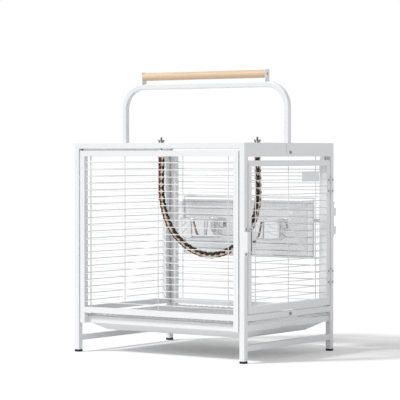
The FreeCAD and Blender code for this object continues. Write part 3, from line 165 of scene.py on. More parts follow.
class Pieces:
    """Closed surfaces that gather into one mesh, each with its faces turned outwards."""

    def __init__(self):
        self.points = []
        self.faces = []
        self.lays = []
        self.count = 0

    def add(self, points, faces, lay=None):
        """Adds one closed surface. Its volume, summed over its faces from the middle, gives the side
        that its faces look to, and they are turned round when it comes out negative."""
        points = np.asarray(points, float)
        centre = points.mean(0)
        volume = 0.0
        for block in faces:
            block = np.asarray(block)
            first = points[block[:, 0]] - centre
            for second, third in zip(range(1, block.shape[1] - 1), range(2, block.shape[1])):
                cross = np.cross(points[block[:, second]] - centre, points[block[:, third]] - centre)
                volume += float((first * cross).sum())
        for block in faces:
            block = np.asarray(block) + self.count
            if volume < 0:
                block = block[:, ::-1]
            self.faces += block.tolist()
        self.points.append(points)
        self.lays.append(np.zeros((len(points), 3)) if lay is None else lay)
        self.count += len(points)
        return self

    def make(self, name, sharp=40.0, lay=False):
        mesh = to_mesh(name, np.concatenate(self.points), self.faces, sharp)
        if lay:
            attribute = mesh.attributes.new("lay", "FLOAT_VECTOR", "POINT")
            attribute.data.foreach_set("vector", np.concatenate(self.lays).astype(np.float32).ravel())
        made = bpy.data.objects.new(name, mesh)
        bpy.context.scene.collection.objects.link(made)
        return made


def rings(count, sides, closed=False):
    """Quads between neighbouring rings of equal sides, and caps on the two end rings."""
    ring = np.arange(count if closed else count - 1)[:, None]
    side = np.arange(sides)[None, :]
    following, beside = (ring + 1) % count, (side + 1) % sides
    quads = np.stack(
        [ring * sides + side, ring * sides + beside, following * sides + beside, following * sides + side], -1
    )
    blocks = [quads.reshape(-1, 4)]
    if not closed:
        blocks.append(np.arange(sides)[::-1][None, :])
        blocks.append((np.arange(sides) + (count - 1) * sides)[None, :])
    return blocks


def rounded_outline(width, depth, radius, steps=4, ease=0.2):
    """An outline of a rectangle whose corners are quarter circles: each corner's points are its
    centre plus the radius times cosine and sine, with one more point on the flat each side."""
    turn = np.linspace(0, math.pi / 2, steps + 1)
    angle = turn[None, :] + np.arange(4)[:, None] * math.pi / 2
    corner_x = np.array([1, -1, -1, 1])[:, None] * (width / 2 - radius)
    corner_y = np.array([1, 1, -1, -1])[:, None] * (depth / 2 - radius)
    arc = np.stack([corner_x + radius * np.cos(angle), corner_y + radius * np.sin(angle)], -1)
    along = np.stack([-np.sin(angle[:, [0, -1]]), np.cos(angle[:, [0, -1]])], -1)
    before = arc[:, :1] - along[:, :1] * radius * ease
    after = arc[:, -1:] + along[:, 1:] * radius * ease
    return np.concatenate([before, arc, after], 1).reshape(-1, 2)


def circle(radius, sides):
    """Points of a circle: radius times cosine and sine of equal turns."""
    turn = np.arange(sides) * 2 * math.pi / sides
    return radius * np.stack([np.cos(turn), np.sin(turn)], -1)


def carried(outline, path, across, up, scale=None):
    """Outline points carried along a path: each is the path's point plus the outline's two
    coordinates times the across and up directions there, times a scale for each ring."""
    scale = np.ones(len(path)) if scale is None else np.asarray(scale, float)
    shape = outline[None, :, :] * scale[:, None, None]
    points = path[:, None, :] + shape[..., :1] * across[:, None, :] + shape[..., 1:] * up[:, None, :]
    return points.reshape(-1, 3)


def turned(profile, centre, axis, sides):
    """A surface of revolution: each profile point (radius, height) turned round the axis, at the
    centre plus height along the axis plus radius times cosine and sine of the turn."""
    axis = np.asarray(axis, float)
    side_a = WORLD_Z if abs(axis[2]) < 0.5 else WORLD_X
    side_b = np.cross(axis, side_a)
    profile = np.asarray(profile, float)
    ring = circle(1.0, sides)
    outward = ring[:, :1] * side_a + ring[:, 1:] * side_b
    points = np.asarray(centre) + profile[:, None, 1:] * axis + profile[:, None, :1] * outward
    return points.reshape(-1, 3)


def add_turned(pieces, profile, centre, axis=WORLD_Z, sides=24):
    """Adds a closed turned surface. A profile that starts and ends off its axis at one height,
    or that is a loop, closes on itself; otherwise both ends get a cap."""
    loop = bool(np.allclose(profile[0], profile[-1]))
    profile = profile[:-1] if loop else profile
    return pieces.add(turned(profile, centre, axis, sides), rings(len(profile), sides, closed=loop))


def domed(radius, length, bulge=0.5, steps=3):
    """A profile of a round bar whose ends round over by a quarter ellipse of depth bulge radii."""
    turn = np.linspace(0, math.pi / 2, steps + 1)[1:]
    start = np.stack([radius * np.sin(turn), radius * bulge * (1 - np.cos(turn))], -1)
    end = np.stack([start[::-1, 0], length - start[::-1, 1]], -1)
    return np.concatenate([start, end])


def add_rods(pieces, starts, ends, radius, sides=10, bulge=0.5):
    """Adds round bars from starts to ends: each is a domed profile turned round its own line, all
    worked out together."""
    starts, ends = np.atleast_2d(starts).astype(float), np.atleast_2d(ends).astype(float)
    line = ends - starts
    length = np.linalg.norm(line, axis=1)
    line /= length[:, None]
    helper = np.where(np.abs(line[:, 2:]) < 0.5, WORLD_Z[None, :], WORLD_X[None, :])
    side_a = np.cross(line, helper)
    side_a /= np.linalg.norm(side_a, axis=1)[:, None]
    side_b = np.cross(line, side_a)
    ring = circle(1.0, sides)
    for number in range(len(starts)):
        profile = domed(radius, length[number], bulge)
        outward = ring[:, :1] * side_a[number] + ring[:, 1:] * side_b[number]
        points = starts[number] + profile[:, None, 1:] * line[number] + profile[:, None, :1] * outward
        pieces.add(points.reshape(-1, 3), rings(len(profile), sides))
    return pieces


def add_blobs(pieces, centres, radii, sides=8, bands=4):
    """Adds small ellipsoids: three radii times the sines and cosines of two turns."""
    tilt = np.linspace(0, math.pi, bands + 1)[1:-1]
    ring = circle(1.0, sides)
    shape = np.stack(
        [
            np.outer(np.sin(tilt), ring[:, 0]),
            np.outer(np.sin(tilt), ring[:, 1]),
            np.outer(-np.cos(tilt), np.ones(sides)),
        ],
        -1,
    ).reshape(-1, 3) * np.asarray(radii)
    faces = rings(bands - 1, sides)
    for centre in np.atleast_2d(centres):
        pieces.add(shape + centre, faces)
    return pieces


def add_slab(pieces, outline, origin, across, up, out, thickness, edge):
    """Adds a plate: a flat outline carried through its thickness, drawn in at both faces so that
    its rims round over. Outline is in metres, origin the middle of its back."""
    reach = np.abs(outline).max()
    drawn = (reach - edge) / reach
    soft = (reach - edge * 0.3) / reach
    depth = np.array([0, edge * 0.3, edge, thickness - edge, thickness - edge * 0.3, thickness])
    scale = np.array([drawn, soft, 1, 1, soft, drawn])
    path = np.asarray(origin) + depth[:, None] * np.asarray(out)
    steady = [np.repeat(np.asarray(item, float)[None, :], len(depth), 0) for item in (across, up)]
    return pieces.add(carried(outline, path, *steady, scale), rings(len(depth), len(outline)))


def add_levels(pieces, levels, steps=6, closed=True):
    """Adds a surface through level outlines: each level is (low corner, high corner, height,
    corner radius), a rounded rectangle at that height."""
    loops = []
    for (x0, y0), (x1, y1), height, radius in levels:
        outline = rounded_outline(x1 - x0, y1 - y0, radius, steps)
        middle = np.array([(x0 + x1) / 2, (y0 + y1) / 2])
        loops.append(np.column_stack([outline + middle, np.full(len(outline), height)]))
    return pieces.add(np.concatenate(loops), rings(len(loops), len(loops[0]), closed=closed))


def limits(node):
    """The lowest and highest corner of a node, as arrays."""
    low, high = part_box(node)
    return np.array(low), np.array(high)


def dress(piece, finish, slot, body, *nodes):
    """Gives a finished piece its material, its slot, the body it rides on and the nodes it stands for."""
    piece.data.materials.clear()
    piece.data.materials.append(finish)
    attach(piece, body)
    if nodes:
        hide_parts(*nodes)
    return piece


def softened(name, node, width, segments=2):
    """A copy of a node's mesh with its points merged, its flat faces joined and its edges rounded."""
    mesh = bpy.data.meshes.new(name)
    work = bmesh.new()
    work.from_mesh(frame["nodes"][node].data)
    bmesh.ops.remove_doubles(work, verts=work.verts, dist=1e-6)
    bmesh.ops.dissolve_limit(work, angle_limit=math.radians(0.6), verts=work.verts, edges=work.edges)
    work.to_mesh(mesh)
    work.free()
    made = bpy.data.objects.new(name, mesh)
    bpy.context.scene.collection.objects.link(made)
    mesh.shade_smooth()
    mesh.set_sharp_from_angle(angle=math.radians(50))
    bevel = made.modifiers.new("Rounded edges", "BEVEL")
    bevel.width = width
    bevel.segments = segments
    bevel.limit_method = "ANGLE"
    bevel.angle_limit = math.radians(50)
    bevel.harden_normals = False
    weighted = made.modifiers.new("Even shading", "WEIGHTED_NORMAL")
    weighted.keep_sharp = False
    weighted.weight = 100
    return made


# Materials


class Signal:
    """A socket of a material's nodes that reckons as a number does: each sum, difference, product
    or quotient adds the Math node that works it out."""

    def __init__(self, finish, socket):
        self.finish = finish
        self.socket = socket

    def math(self, operation, first, second=None, clamp=False):
        sockets = {0: first} if second is None else {0: first, 1: second}
        return self.finish.node("Math", {"operation": operation, "use_clamp": clamp}, sockets)

    def __add__(self, other):
        return self.math("ADD", self, other)

    def __sub__(self, other):
        return self.math("SUBTRACT", self, other)

    def __mul__(self, other):
        return self.math("MULTIPLY", self, other)

    def __truediv__(self, other):
        return self.math("DIVIDE", self, other)

    def __pow__(self, other):
        return self.math("POWER", self, other)

    def __rsub__(self, other):
        return self.math("SUBTRACT", other, self)

    def __rtruediv__(self, other):
        return self.math("DIVIDE", other, self)

    def clamped(self):
        return self.math("ADD", self, 0.0, clamp=True)

    __radd__ = __add__
    __rmul__ = __mul__


class Finish:
    """A material and the nodes of its tree."""

    def __init__(self, name):
        self.material = bpy.data.materials.new(name)
        self.material.use_nodes = True
        self.tree = self.material.node_tree
        self.tree.nodes.clear()

    def node(self, kind, settings=None, sockets=None, output=0):
        """Adds a node: its settings first, a ramp's stops among them, then its sockets' values or
        links. Returns the output that was asked for."""
        made = self.tree.nodes.new("ShaderNode" + kind)
        for name, value in (settings or {}).items():
            if name == "stops":
                ramp = made.color_ramp.elements
                while len(ramp) < len(value):
                    ramp.new(0.5)
                for stop, (place, colour) in zip(ramp, value):
                    stop.position = place
                    stop.color = (*colour, 1.0) if len(colour) == 3 else colour
            else:
                setattr(made, name, value)
        for name, value in (sockets or {}).items():
            socket = made.inputs[name]
            if isinstance(value, Signal):
                self.tree.links.new(value.socket, socket)
            else:
                if socket.type == "RGBA" and len(value) == 3:
                    value = (*value, 1.0)
                socket.default_value = value
        return Signal(self, made.outputs[output])

    def place(self, stretch=(1, 1, 1), centre=(0, 0, 0), turn=(0, 0, 0)):
        """Object coordinates, moved so that centre is their origin, then turned and stretched."""
        spot = self.node("TexCoord", output="Object")
        moved = self.node("VectorMath", {"operation": "SUBTRACT"}, {0: spot, 1: centre})
        sockets = {"Vector": moved, "Rotation": turn, "Scale": stretch}
        return self.node("Mapping", {"vector_type": "POINT"}, sockets)

    def noise(self, spot, scale, detail=2.0, roughness=0.5, distortion=0.0):
        settings = {"noise_dimensions": "3D"}
        sockets = {
            "Vector": spot,
            "Scale": scale,
            "Detail": detail,
            "Roughness": roughness,
            "Distortion": distortion,
        }
        return self.node("TexNoise", settings, sockets, output="Fac")

    def mix(self, share, first, second):
        sockets = {"Factor": share, 6: first, 7: second}
        return self.node("Mix", {"data_type": "RGBA", "clamp_factor": True}, sockets, output=2)

    def bump(self, height, strength, distance):
        return self.node("Bump", None, {"Strength": strength, "Distance": distance, "Height": height})

    def surface(self, **sockets):
        """Closes the tree with a Principled shader that has these sockets set."""
        named = {name.replace("_", " "): value for name, value in sockets.items()}
        self.close(self.node("BsdfPrincipled", None, named))
        return self.material

    def close(self, shader):
        out = self.tree.nodes.new("ShaderNodeOutputMaterial")
        self.tree.links.new(shader.socket, out.inputs["Surface"])
        return self.material


def tinted(colour, share):
    return tuple(min(1.0, channel * share) for channel in colour)


def powder_coat(name, colour, gloss):
    """Baked powder coat: a fine orange peel, a faint drift of tone and slightly duller patches."""
    finish = Finish(name)
    spot = finish.place()
    peel = finish.noise(spot, 620.0, 3.0, 0.55)
    drift = finish.noise(spot, 9.0, 3.0, 0.6)
    dust = finish.noise(spot, 160.0, 2.0, 0.6)
    tone = (drift * 0.65 + dust * 0.35).clamped()
    return finish.surface(
        Base_Color=finish.mix(tone, tinted(colour, 0.955), tinted(colour, 1.03)),
        Roughness=(0.62 - gloss) + peel * 0.10 + drift * 0.06,
        Specular_IOR_Level=0.5,
        Coat_Weight=0.18,
        Coat_Roughness=0.12,
        Normal=finish.bump(peel, 0.16, 0.00022),
    )


def moulded_rubber(name, colour):
    """Moulded caps: a fine spark-eroded grain with worn, greyer high spots."""
    finish = Finish(name)
    spot = finish.place()
    grain = finish.noise(spot, 1300.0, 2.0, 0.7)
    scuff = finish.noise(spot, 120.0, 4.0, 0.65)
    worn = ((scuff - 0.52) * 5.0).clamped()
    return finish.surface(
        Base_Color=finish.mix(worn, colour, tinted(colour, 2.6)),
        Roughness=0.52 + grain * 0.2,
        Normal=finish.bump(grain, 0.35, 0.0002),
    )


def plated(name, colour, bright):
    """Zinc plate: small crystals, a drift of tarnish and fine scratches all ways."""
    finish = Finish(name)
    spot = finish.place()
    crystal = finish.node("TexVoronoi", {"feature": "F1"}, {"Vector": spot, "Scale": 900.0}, output="Color")
    speck = finish.node("SeparateColor", None, {"Color": crystal})
    drift = finish.noise(spot, 150.0, 4.0, 0.6)
    scratch = finish.noise(finish.place((900, 140, 900), turn=(0.4, 0.3, 0.8)), 1.0, 2.0, 0.6)
    tone = (speck * 0.3 + drift * 0.7).clamped()
    return finish.surface(
        Base_Color=finish.mix(tone, tinted(colour, 0.72), tinted(colour, 1.25)),
        Metallic=1.0,
        Roughness=(0.5 - bright) + drift * 0.16 + speck * 0.06,
        Normal=finish.bump(scratch, 0.12, 0.0001),
    )


def sanded_wood(name, light, dark, axis_centre):
    """A turned hardwood dowel: long fibres along X, rings round its heart and fine dark pores."""
    finish = Finish(name)
    grain = finish.place((5.0, 90.0, 90.0), axis_centre)
    fibre = finish.noise(grain, 1.6, 5.0, 0.62, 0.4)
    pores = finish.noise(finish.place((55.0, 1400.0, 1400.0), axis_centre), 1.0, 2.0, 0.5)
    heart = finish.place((1.5, 42.0, 42.0), (axis_centre[0], axis_centre[1] + 0.03, axis_centre[2] - 0.022))
    settings = {"wave_type": "RINGS", "rings_direction": "X", "wave_profile": "SAW"}
    ring_sockets = {"Vector": heart, "Scale": 1.4, "Distortion": 2.4, "Detail": 3.0, "Detail Scale": 0.8}
    year = finish.node("TexWave", settings, ring_sockets, output="Fac")
    pore_mask = ((pores - 0.62) * 7.0).clamped()
    tone = (fibre * 0.75 + year * 0.3 - 0.12).clamped()
    body = finish.mix(tone, dark, light)
    return finish.surface(
        Base_Color=finish.mix(pore_mask * 0.4, body, tinted(dark, 0.62)),
        Roughness=0.52 + fibre * 0.16,
        Specular_IOR_Level=0.35,
        Normal=finish.bump(fibre * 0.5 - pore_mask * 0.4, 0.22, 0.0003),
    )


def polished_steel(name, colour, centres):
    """Spun stainless steel, mirror polished, with fine turning marks round each cup's own axis."""
    finish = Finish(name)
    spot = finish.node("TexCoord", output="Object")
    parts = [finish.node("SeparateXYZ", None, {"Vector": spot}, output=index) for index in range(3)]
    middle = (centres[0][0] + centres[1][0]) / 2
    beyond = finish.node("Math", {"operation": "GREATER_THAN"}, {0: parts[0], 1: middle})
    offset_x = parts[0] - centres[0][0] - beyond * (centres[1][0] - centres[0][0])
    offset_y = parts[1] - centres[0][1]
    radius = (offset_x * offset_x + offset_y * offset_y) ** 0.5
    marks_at = finish.node("CombineXYZ", None, {"X": radius * 2600.0, "Y": parts[2] * 2600.0, "Z": 0.0})
    marks = finish.noise(marks_at, 1.0, 2.0, 0.6)
    smear = finish.noise(finish.place(), 38.0, 4.0, 0.6)
    return finish.surface(
        Base_Color=finish.mix(smear, tinted(colour, 0.93), tinted(colour, 1.05)),
        Metallic=1.0,
        Roughness=0.045 + smear * 0.05 + marks * 0.025,
        Normal=finish.bump(marks, 0.05, 0.00004),
    )


def moulded_gloss(name, colour):
    """Glossy moulded plastic with a slight flow pattern and tiny pits."""
    finish = Finish(name)
    spot = finish.place()
    flow = finish.noise(finish.place((60, 60, 18)), 1.0, 3.0, 0.5, 0.6)
    pits = finish.noise(spot, 1500.0, 1.0, 0.5)
    return finish.surface(
        Base_Color=finish.mix(flow, tinted(colour, 0.94), tinted(colour, 1.04)),
        Roughness=0.18 + flow * 0.1 + pits * 0.05,
        Coat_Weight=0.3,
        Coat_Roughness=0.08,
        Normal=finish.bump(pits, 0.06, 0.0001),
    )


def clear_sheet(name, colour, lip_foot):
    """Clear sheet plastic: see-through and faintly hazy. Its broad face is tinted greyer and made less
    clear than its wings: painted shade, for the shadowed cage seen through the sheet. The doubled lip
    along the top is denser."""
    finish = Finish(name)
    spot = finish.place()
    haze = finish.noise(spot, 14.0, 4.0, 0.6)
    slant = finish.node("LayerWeight", None, {"Blend": 0.28}, output="Facing")
    facing = finish.node("NewGeometry", output="Normal")
    sides = [finish.node("SeparateXYZ", None, {"Vector": facing}, output=index) for index in range(2)]
    # painted shade: faces that look along Y, the broad face, get the grey guard colour and more opacity
    broad = (sides[1] * sides[1]).clamped()
    heights = finish.node("TexCoord", output="Object")
    level = finish.node("SeparateXYZ", None, {"Vector": heights}, output=2)
    lip = ((level - lip_foot) * 900.0).clamped()
    painted_shade_share = (broad * 0.8 + haze * 0.2).clamped()
    return finish.surface(
        Base_Color=finish.mix(painted_shade_share, (0.86, 0.88, 0.90), colour),
        Roughness=0.06 + haze * 0.06,
        Specular_IOR_Level=0.6,
        Alpha=(0.14 + broad * 0.12 + lip * 0.10 + slant * 0.12 + haze * 0.03).clamped(),
        Coat_Weight=0.4,
        Coat_Roughness=0.04,
    )


def twisted_yarn(name, first, second, yarns, share):
    """Spun cotton: yarns that wind round the strand, each with its own tone, with painted shade in the
    grooves between them, and fine fibres along them. The lay attribute gives cosine, sine and length."""
    finish = Finish(name)
    lay = finish.node("Attribute", {"attribute_name": "lay"}, output="Vector")
    parts = [finish.node("SeparateXYZ", None, {"Vector": lay}, output=index) for index in range(3)]
    turn = finish.node("Math", {"operation": "ARCTAN2"}, {0: parts[1], 1: parts[0]})
    phase = turn * float(yarns)
    wave = finish.node("Math", {"operation": "COSINE"}, {0: phase})
    # painted shade: where the yarns' wave dips, between two yarns, the colour is darkened
    painted_groove_shade = ((-0.35 - wave) * 1.6).clamped()
    twine = finish.node("CombineXYZ", None, {"X": parts[0] * 5.0, "Y": parts[1] * 5.0, "Z": parts[2] * 60.0})
    yarn = finish.noise(twine, 1.0, 1.0, 0.5)
    fibres_at = finish.node(
        "CombineXYZ", None, {"X": parts[0] * 46.0, "Y": parts[1] * 46.0, "Z": parts[2] * 420.0}
    )
    fibres = finish.noise(fibres_at, 1.0, 3.0, 0.65)
    pick = (((yarn - 0.5) * 6.0) + share + (fibres - 0.5) * 0.5).clamped()
    body = finish.mix(pick, first, second)
    # the mix towards a darker copy of the strand's colour is painted shade in the grooves, plus a real darker
    # tone on some fibres
    shaded = finish.mix(painted_groove_shade * 0.6 + (0.5 - fibres) * 0.5, body, tinted(first, 0.25))
    return finish.surface(
        Base_Color=shaded,
        Roughness=0.82 + fibres * 0.12,
        Specular_IOR_Level=0.2,
        Sheen_Weight=0.35,
        Sheen_Roughness=0.5,
        Normal=finish.bump(fibres * 0.7 + wave * 0.3, 0.5, 0.0006),
    )


FINISHES = {}
GUARD_LIP_HEIGHT = 0.02


def make_finishes(colours):
    """Every finish of the cage, by the record's slot or by the strand it is for."""
    left_cup, right_cup = limits("cup_left"), limits("cup_right")
    dowel = limits("perch_dowel")
    cups = [(low + high) / 2 for low, high in (left_cup, right_cup)]
    guard_top = limits("splash_guard")[1][2]
    yarns = bpy.context.scene.cage_rope.yarns
    cream, black, wine = colours.rope_cream, colours.rope_black, colours.rope_wine
    FINISHES.update(
        {
            "frame_paint": powder_coat("white powder coat on tubes", colours.paint, 0.28),
            "wire_paint": powder_coat("white powder coat on wires", colours.wire_paint, 0.24),
            "foot_plastic": moulded_rubber("black moulded caps", colours.rubber),
            "screw_steel": plated("zinc plated screws", colours.zinc, 0.22),
            "nut_steel": plated("zinc plated wing nuts", tinted(colours.zinc, 0.9), 0.18),
            "cup_steel": polished_steel("polished cup steel", colours.steel, cups),
            "ferrule_plastic": moulded_gloss("white ferrules", colours.ferrule),
            "guard_clear": clear_sheet("clear guard sheet", colours.guard, guard_top - GUARD_LIP_HEIGHT),
            "dowel_wood": sanded_wood("sanded dowel", colours.wood, colours.wood_dark, tuple(sum(dowel) / 2)),
            "strand_cream": twisted_yarn("cream yarn", cream, tinted(cream, 0.82), yarns, 0.4),
            "strand_black": twisted_yarn("black yarn", black, tinted(black, 2.5), yarns, 0.3),
            "strand_wine": twisted_yarn("wine yarn", wine, tinted(wine, 1.6), yarns, 0.4),
            "strand_mixed": twisted_yarn("mixed dark yarn", wine, black, yarns, 0.5),
            "strand_rust": twisted_yarn("rust yarn", colours.rope_rust, cream, yarns, 0.45),
        }
    )


class CAGE_OT_finishes(bpy.types.Operator):
    """Makes the paints, metals, plastics, wood and yarns"""

    bl_idname = "cage.finishes"
    bl_label = "Finishes"

    def execute(self, context):
        make_finishes(context.scene.cage_colours)
        slots = {item["node"]: item["material_slot"] for item in frame["record"]["subparts"]}
        for name, node in frame["nodes"].items():
            finish = FINISHES.get(slots[name], FINISHES["strand_cream"])
            node.data.materials.clear()
            node.data.materials.append(finish)
        return {"FINISHED"}


# Square tubes and folded sheet

SOFT_TUBES = (
    "post_front_left post_front_right post_back_left post_back_right top_rail_front top_rail_back "
    "side_rail_left side_rail_right stretcher_left stretcher_right front_panel_frame back_panel_frame "
    "left_panel_stiles"
).split()
SOFT_PLATES = {
    "roof_bar": "cage",
    "perch_plates": "cage",
    "hinge_leaves_post": "cage",
    "hinge_leaves_door": "door",
    "latch_keeper": "cage",
    "latch_case": "door",
    "latch_bar": "latch_bar",
    "door_plate": "door",
    "tray_runner_front": "cage",
    "tray_runner_back": "cage",
    "tray_pull": "tray",
    "feeder_loops": "cage",
    "panel_spacers": "cage",
}


class CAGE_OT_frame(bpy.types.Operator):
    """Rounds the edges of the square tubes, the bands and the door's frame"""

    bl_idname = "cage.frame"
    bl_label = "Tube frame"

    def execute(self, context):
        sizes = context.scene.cage_frame
        paint = FINISHES["frame_paint"]
        for node in SOFT_TUBES:
            dress(softened(f"painted_{node}", node, sizes.tube_edge, 3), paint, "frame_paint", "cage", node)
        for side in ("left", "right"):
            node = f"top_band_{side}"
            dress(softened(f"painted_{node}", node, sizes.band_edge, 3), paint, "frame_paint", "cage", node)
        door = softened("painted_door_frame", "door_frame", sizes.tube_edge, 3)
        dress(door, paint, "frame_paint", "door", "door_frame")
        return {"FINISHED"}


class CAGE_OT_plates(bpy.types.Operator):
    """Rounds the rims of hinge leaves, latch boxes, runners, plates and loops"""

    bl_idname = "cage.plates"
    bl_label = "Plates and folded sheet"

    def execute(self, context):
        edge = context.scene.cage_frame.sheet_edge
        for node, body in SOFT_PLATES.items():
            slot = "screw_steel" if node == "latch_bar" else "frame_paint"
            dress(softened(f"rounded_{node}", node, edge), FINISHES[slot], slot, body, node)
        return {"FINISHED"}


class CAGE_OT_handle(bpy.types.Operator):
    """Carries the handle's rounded square tube up one leg, over and down the other"""

    bl_idname = "cage.handle"
    bl_label = "Handle"

    def execute(self, context):
        sizes = context.scene.cage_frame
        low, high = limits("handle_tube")
        side = high[1] - low[1]
        bend = sizes.handle_bend - side / 2
        turn = np.linspace(0, math.pi / 2, 25)
        left, right, top = low[0] + side / 2, high[0] - side / 2, high[2] - side / 2
        middle = (low[1] + high[1]) / 2
        path_x = np.concatenate(
            [
                [left, left],
                left + bend * (1 - np.cos(turn)),
                right - bend * (1 - np.sin(turn)),
                [right, right],
            ]
        )
        path_z = np.concatenate(
            [
                [low[2], high[2] - sizes.handle_bend - 0.002],
                top - bend + bend * np.sin(turn),
                top - bend + bend * np.cos(turn),
                [high[2] - sizes.handle_bend - 0.002, low[2]],
            ]
        )
        lean = np.concatenate([[0, 0], turn, turn + math.pi / 2, [math.pi, math.pi]])
        path = np.stack([path_x, np.full_like(path_x, middle), path_z], -1)
        outward = np.stack([-np.cos(lean), np.zeros_like(lean), np.sin(lean)], -1)
        sideways = np.repeat(WORLD_Y[None, :], len(path), 0)
        outline = rounded_outline(side, side, sizes.handle_edge, 5)
        pieces = Pieces().add(carried(outline, path, outward, sideways), rings(len(path), len(outline)))
        dress(pieces.make("carrying_handle"), FINISHES["frame_paint"], "frame_paint", "cage", "handle_tube")
        return {"FINISHED"}


class CAGE_OT_caps(bpy.types.Operator):
    """Moulds the four foot caps, with a rounded sole and a drawn-in collar"""

    bl_idname = "cage.caps"
    bl_label = "Foot caps"

    def execute(self, context):
        edge = context.scene.cage_frame.cap_edge
        lip, height = 0.001, 0.006
        pieces = Pieces()
        for corner in ("front_left", "front_right", "back_left", "back_right"):
            low, high = limits(f"post_{corner}")
            outer = [(low[:2] - lip, high[:2] + lip)]
            levels = []
            for inset, level in (
                (edge, 0.0),
                (edge * 0.3, edge * 0.3),
                (0.0, edge),
                (0.0, height - 0.0012),
                (0.0003, height - 0.0004),
                (0.0009, height),
                (0.0022, height),
            ):
                levels.append((outer[0][0] + inset, outer[0][1] - inset, level, 0.0028 - inset * 0.4))
            add_levels(pieces, levels, closed=False)
        dress(pieces.make("moulded_foot_caps"), FINISHES["foot_plastic"], "foot_plastic", "cage", "foot_caps")
        return {"FINISHED"}


# Wires


def rows_and_uprights(rows, uprights):
    """Starts and ends of two sets of wires, as arrays of shape (count, 2, 3)."""
    return np.asarray(rows, float), np.asarray(uprights, float)


def wire_panel(name, rows, uprights, sizes, weld_shift, body, *nodes):
    """Round wires with a small painted weld at every crossing. Each row crosses each upright where
    the row's line passes nearest to it."""
    pieces = Pieces()
    radius = sizes.thickness / 2
    add_rods(pieces, rows[:, 0], rows[:, 1], radius, 10, 0.3)
    add_rods(pieces, uprights[:, 0], uprights[:, 1], radius, 10, 0.3)
    crossings = []
    for start, end in uprights:
        for row_start, row_end in rows:
            low, high = np.minimum(row_start, row_end) - 1e-4, np.maximum(row_start, row_end) + 1e-4
            along = (row_end - row_start) / np.linalg.norm(row_end - row_start)
            up = (end - start) / np.linalg.norm(end - start)
            point = row_start + along * float(np.dot(start - row_start, along))
            height = float(np.dot(point - start, up))
            if 0 <= height <= np.linalg.norm(end - start) and (point >= low).all() and (point <= high).all():
                crossings.append(point + weld_shift)
    if crossings:
        add_blobs(pieces, crossings, [sizes.weld] * 3)
    return dress(pieces.make(name, 60), FINISHES["wire_paint"], "wire_paint", body, *nodes)


def upright_lines(places, low, high, depth, along_x):
    lines = []
    for place in places:
        foot = (place, depth) if along_x else (depth, place)
        lines.append([(*foot, low), (*foot, high)])
    return lines


def row_lines(heights, start, end, depth, along_x):
    lines = []
    for height in heights:
        ends = [(start, depth), (end, depth)] if along_x else [(depth, start), (depth, end)]
        lines.append([(*ends[0], height), (*ends[1], height)])
    return lines


class CAGE_OT_wires(bpy.types.Operator):
    """Welds the wire panels of the front, the back, the left side, the roof and the door"""

    bl_idname = "cage.wires"
    bl_label = "Wire panels"

    def execute(self, context):
        sizes = context.scene.cage_wires
        radius = sizes.thickness / 2
        bite = 0.0006
        between = sizes.thickness * 0.43

        low, high = limits("front_wires")
        heights = np.arange(low[2] + sizes.first, high[2] - 0.004, sizes.pitch)
        places = [low[0] + sizes.long_inset, (low[0] + high[0]) / 2, high[0] - sizes.long_inset]
        rows = row_lines(heights, low[0] - bite, high[0] + bite, low[1] + radius, True)
        bars = upright_lines(places, low[2] - bite, high[2] + bite, high[1] - radius, True)
        shift = (0, between, 0)
        wire_panel("front_wire_panel", *rows_and_uprights(rows, bars), sizes, shift, "cage", "front_wires")

        low, high = limits("left_wires")
        places = [low[1] + sizes.short_inset, (low[1] + high[1]) / 2, high[1] - sizes.short_inset]
        rows = row_lines(heights, low[1] - bite, high[1] + bite, low[0] + radius, False)
        bars = upright_lines(places, low[2] - bite, high[2] + bite, high[0] - radius, False)
        shift = (between, 0, 0)
        wire_panel("left_wire_panel", *rows_and_uprights(rows, bars), sizes, shift, "cage", "left_wires")

        low, high = limits("back_wires")
        places = [low[0] + sizes.long_inset, (low[0] + high[0]) / 2, high[0] - sizes.long_inset]
        gap_low = low[2] + sizes.first + sizes.feeder_row * sizes.pitch
        gap_high = gap_low + sizes.feeder_gaps * sizes.pitch
        full = [height for height in heights if height < gap_low + 1e-4 or height > gap_high - 1e-4]
        stubs = [height for height in heights if gap_low + 1e-4 < height < gap_high - 1e-4]
        depth = high[1] - radius
        rows = row_lines(full, low[0] - bite, high[0] + bite, depth, True)
        rows += row_lines(stubs, low[0] - bite, places[0] + radius * 0.4, depth, True)
        rows += row_lines(stubs, places[2] - radius * 0.4, high[0] + bite, depth, True)
        inner = low[1] + radius
        bars = upright_lines((places[0], places[2]), low[2] - bite, high[2] + bite, inner, True)
        bars += upright_lines((places[1],), low[2] - bite, gap_low + radius, inner, True)
        bars += upright_lines((places[1],), gap_high - radius, high[2] + bite, inner, True)
        shift = (0, -between, 0)
        wire_panel("back_wire_panel", *rows_and_uprights(rows, bars), sizes, shift, "cage", "back_wires")

        low, high = limits("door_wires")
        heights = np.arange(low[2] + sizes.door_first, high[2] - 0.004, sizes.door_pitch)
        places = [low[1] + sizes.short_inset, (low[1] + high[1]) / 2, high[1] - sizes.short_inset]
        rows = row_lines(heights, low[1] - bite, high[1] + bite, high[0] - radius, False)
        bars = upright_lines(places, low[2] - bite, high[2] + bite, low[0] + radius, False)
        shift = (-between, 0, 0)
        wire_panel("door_wire_panel", *rows_and_uprights(rows, bars), sizes, shift, "door", "door_wires")

        low, high = limits("roof_wires")
        bolt = limits("rope_bolts")[0][0] + 0.003
        first = low[0] + (bolt - low[0] - 0.5 * sizes.pitch) % sizes.pitch
        across = np.arange(first, high[0] - 0.004, sizes.pitch)
        top, below = high[2] - radius, low[2] + radius
        rows = [[(x, low[1] - bite, top), (x, high[1] + bite, top)] for x in across]
        middle = (low[1] + high[1]) / 2
        stays = [middle - 0.13, middle + 0.13]
        bars = [[(low[0] - bite, y, below), (high[0] + bite, y, below)] for y in stays]
        shift = (0, 0, -between)
        wire_panel("roof_wire_panel", *rows_and_uprights(rows, bars), sizes, shift, "cage", "roof_wires")
        return {"FINISHED"}


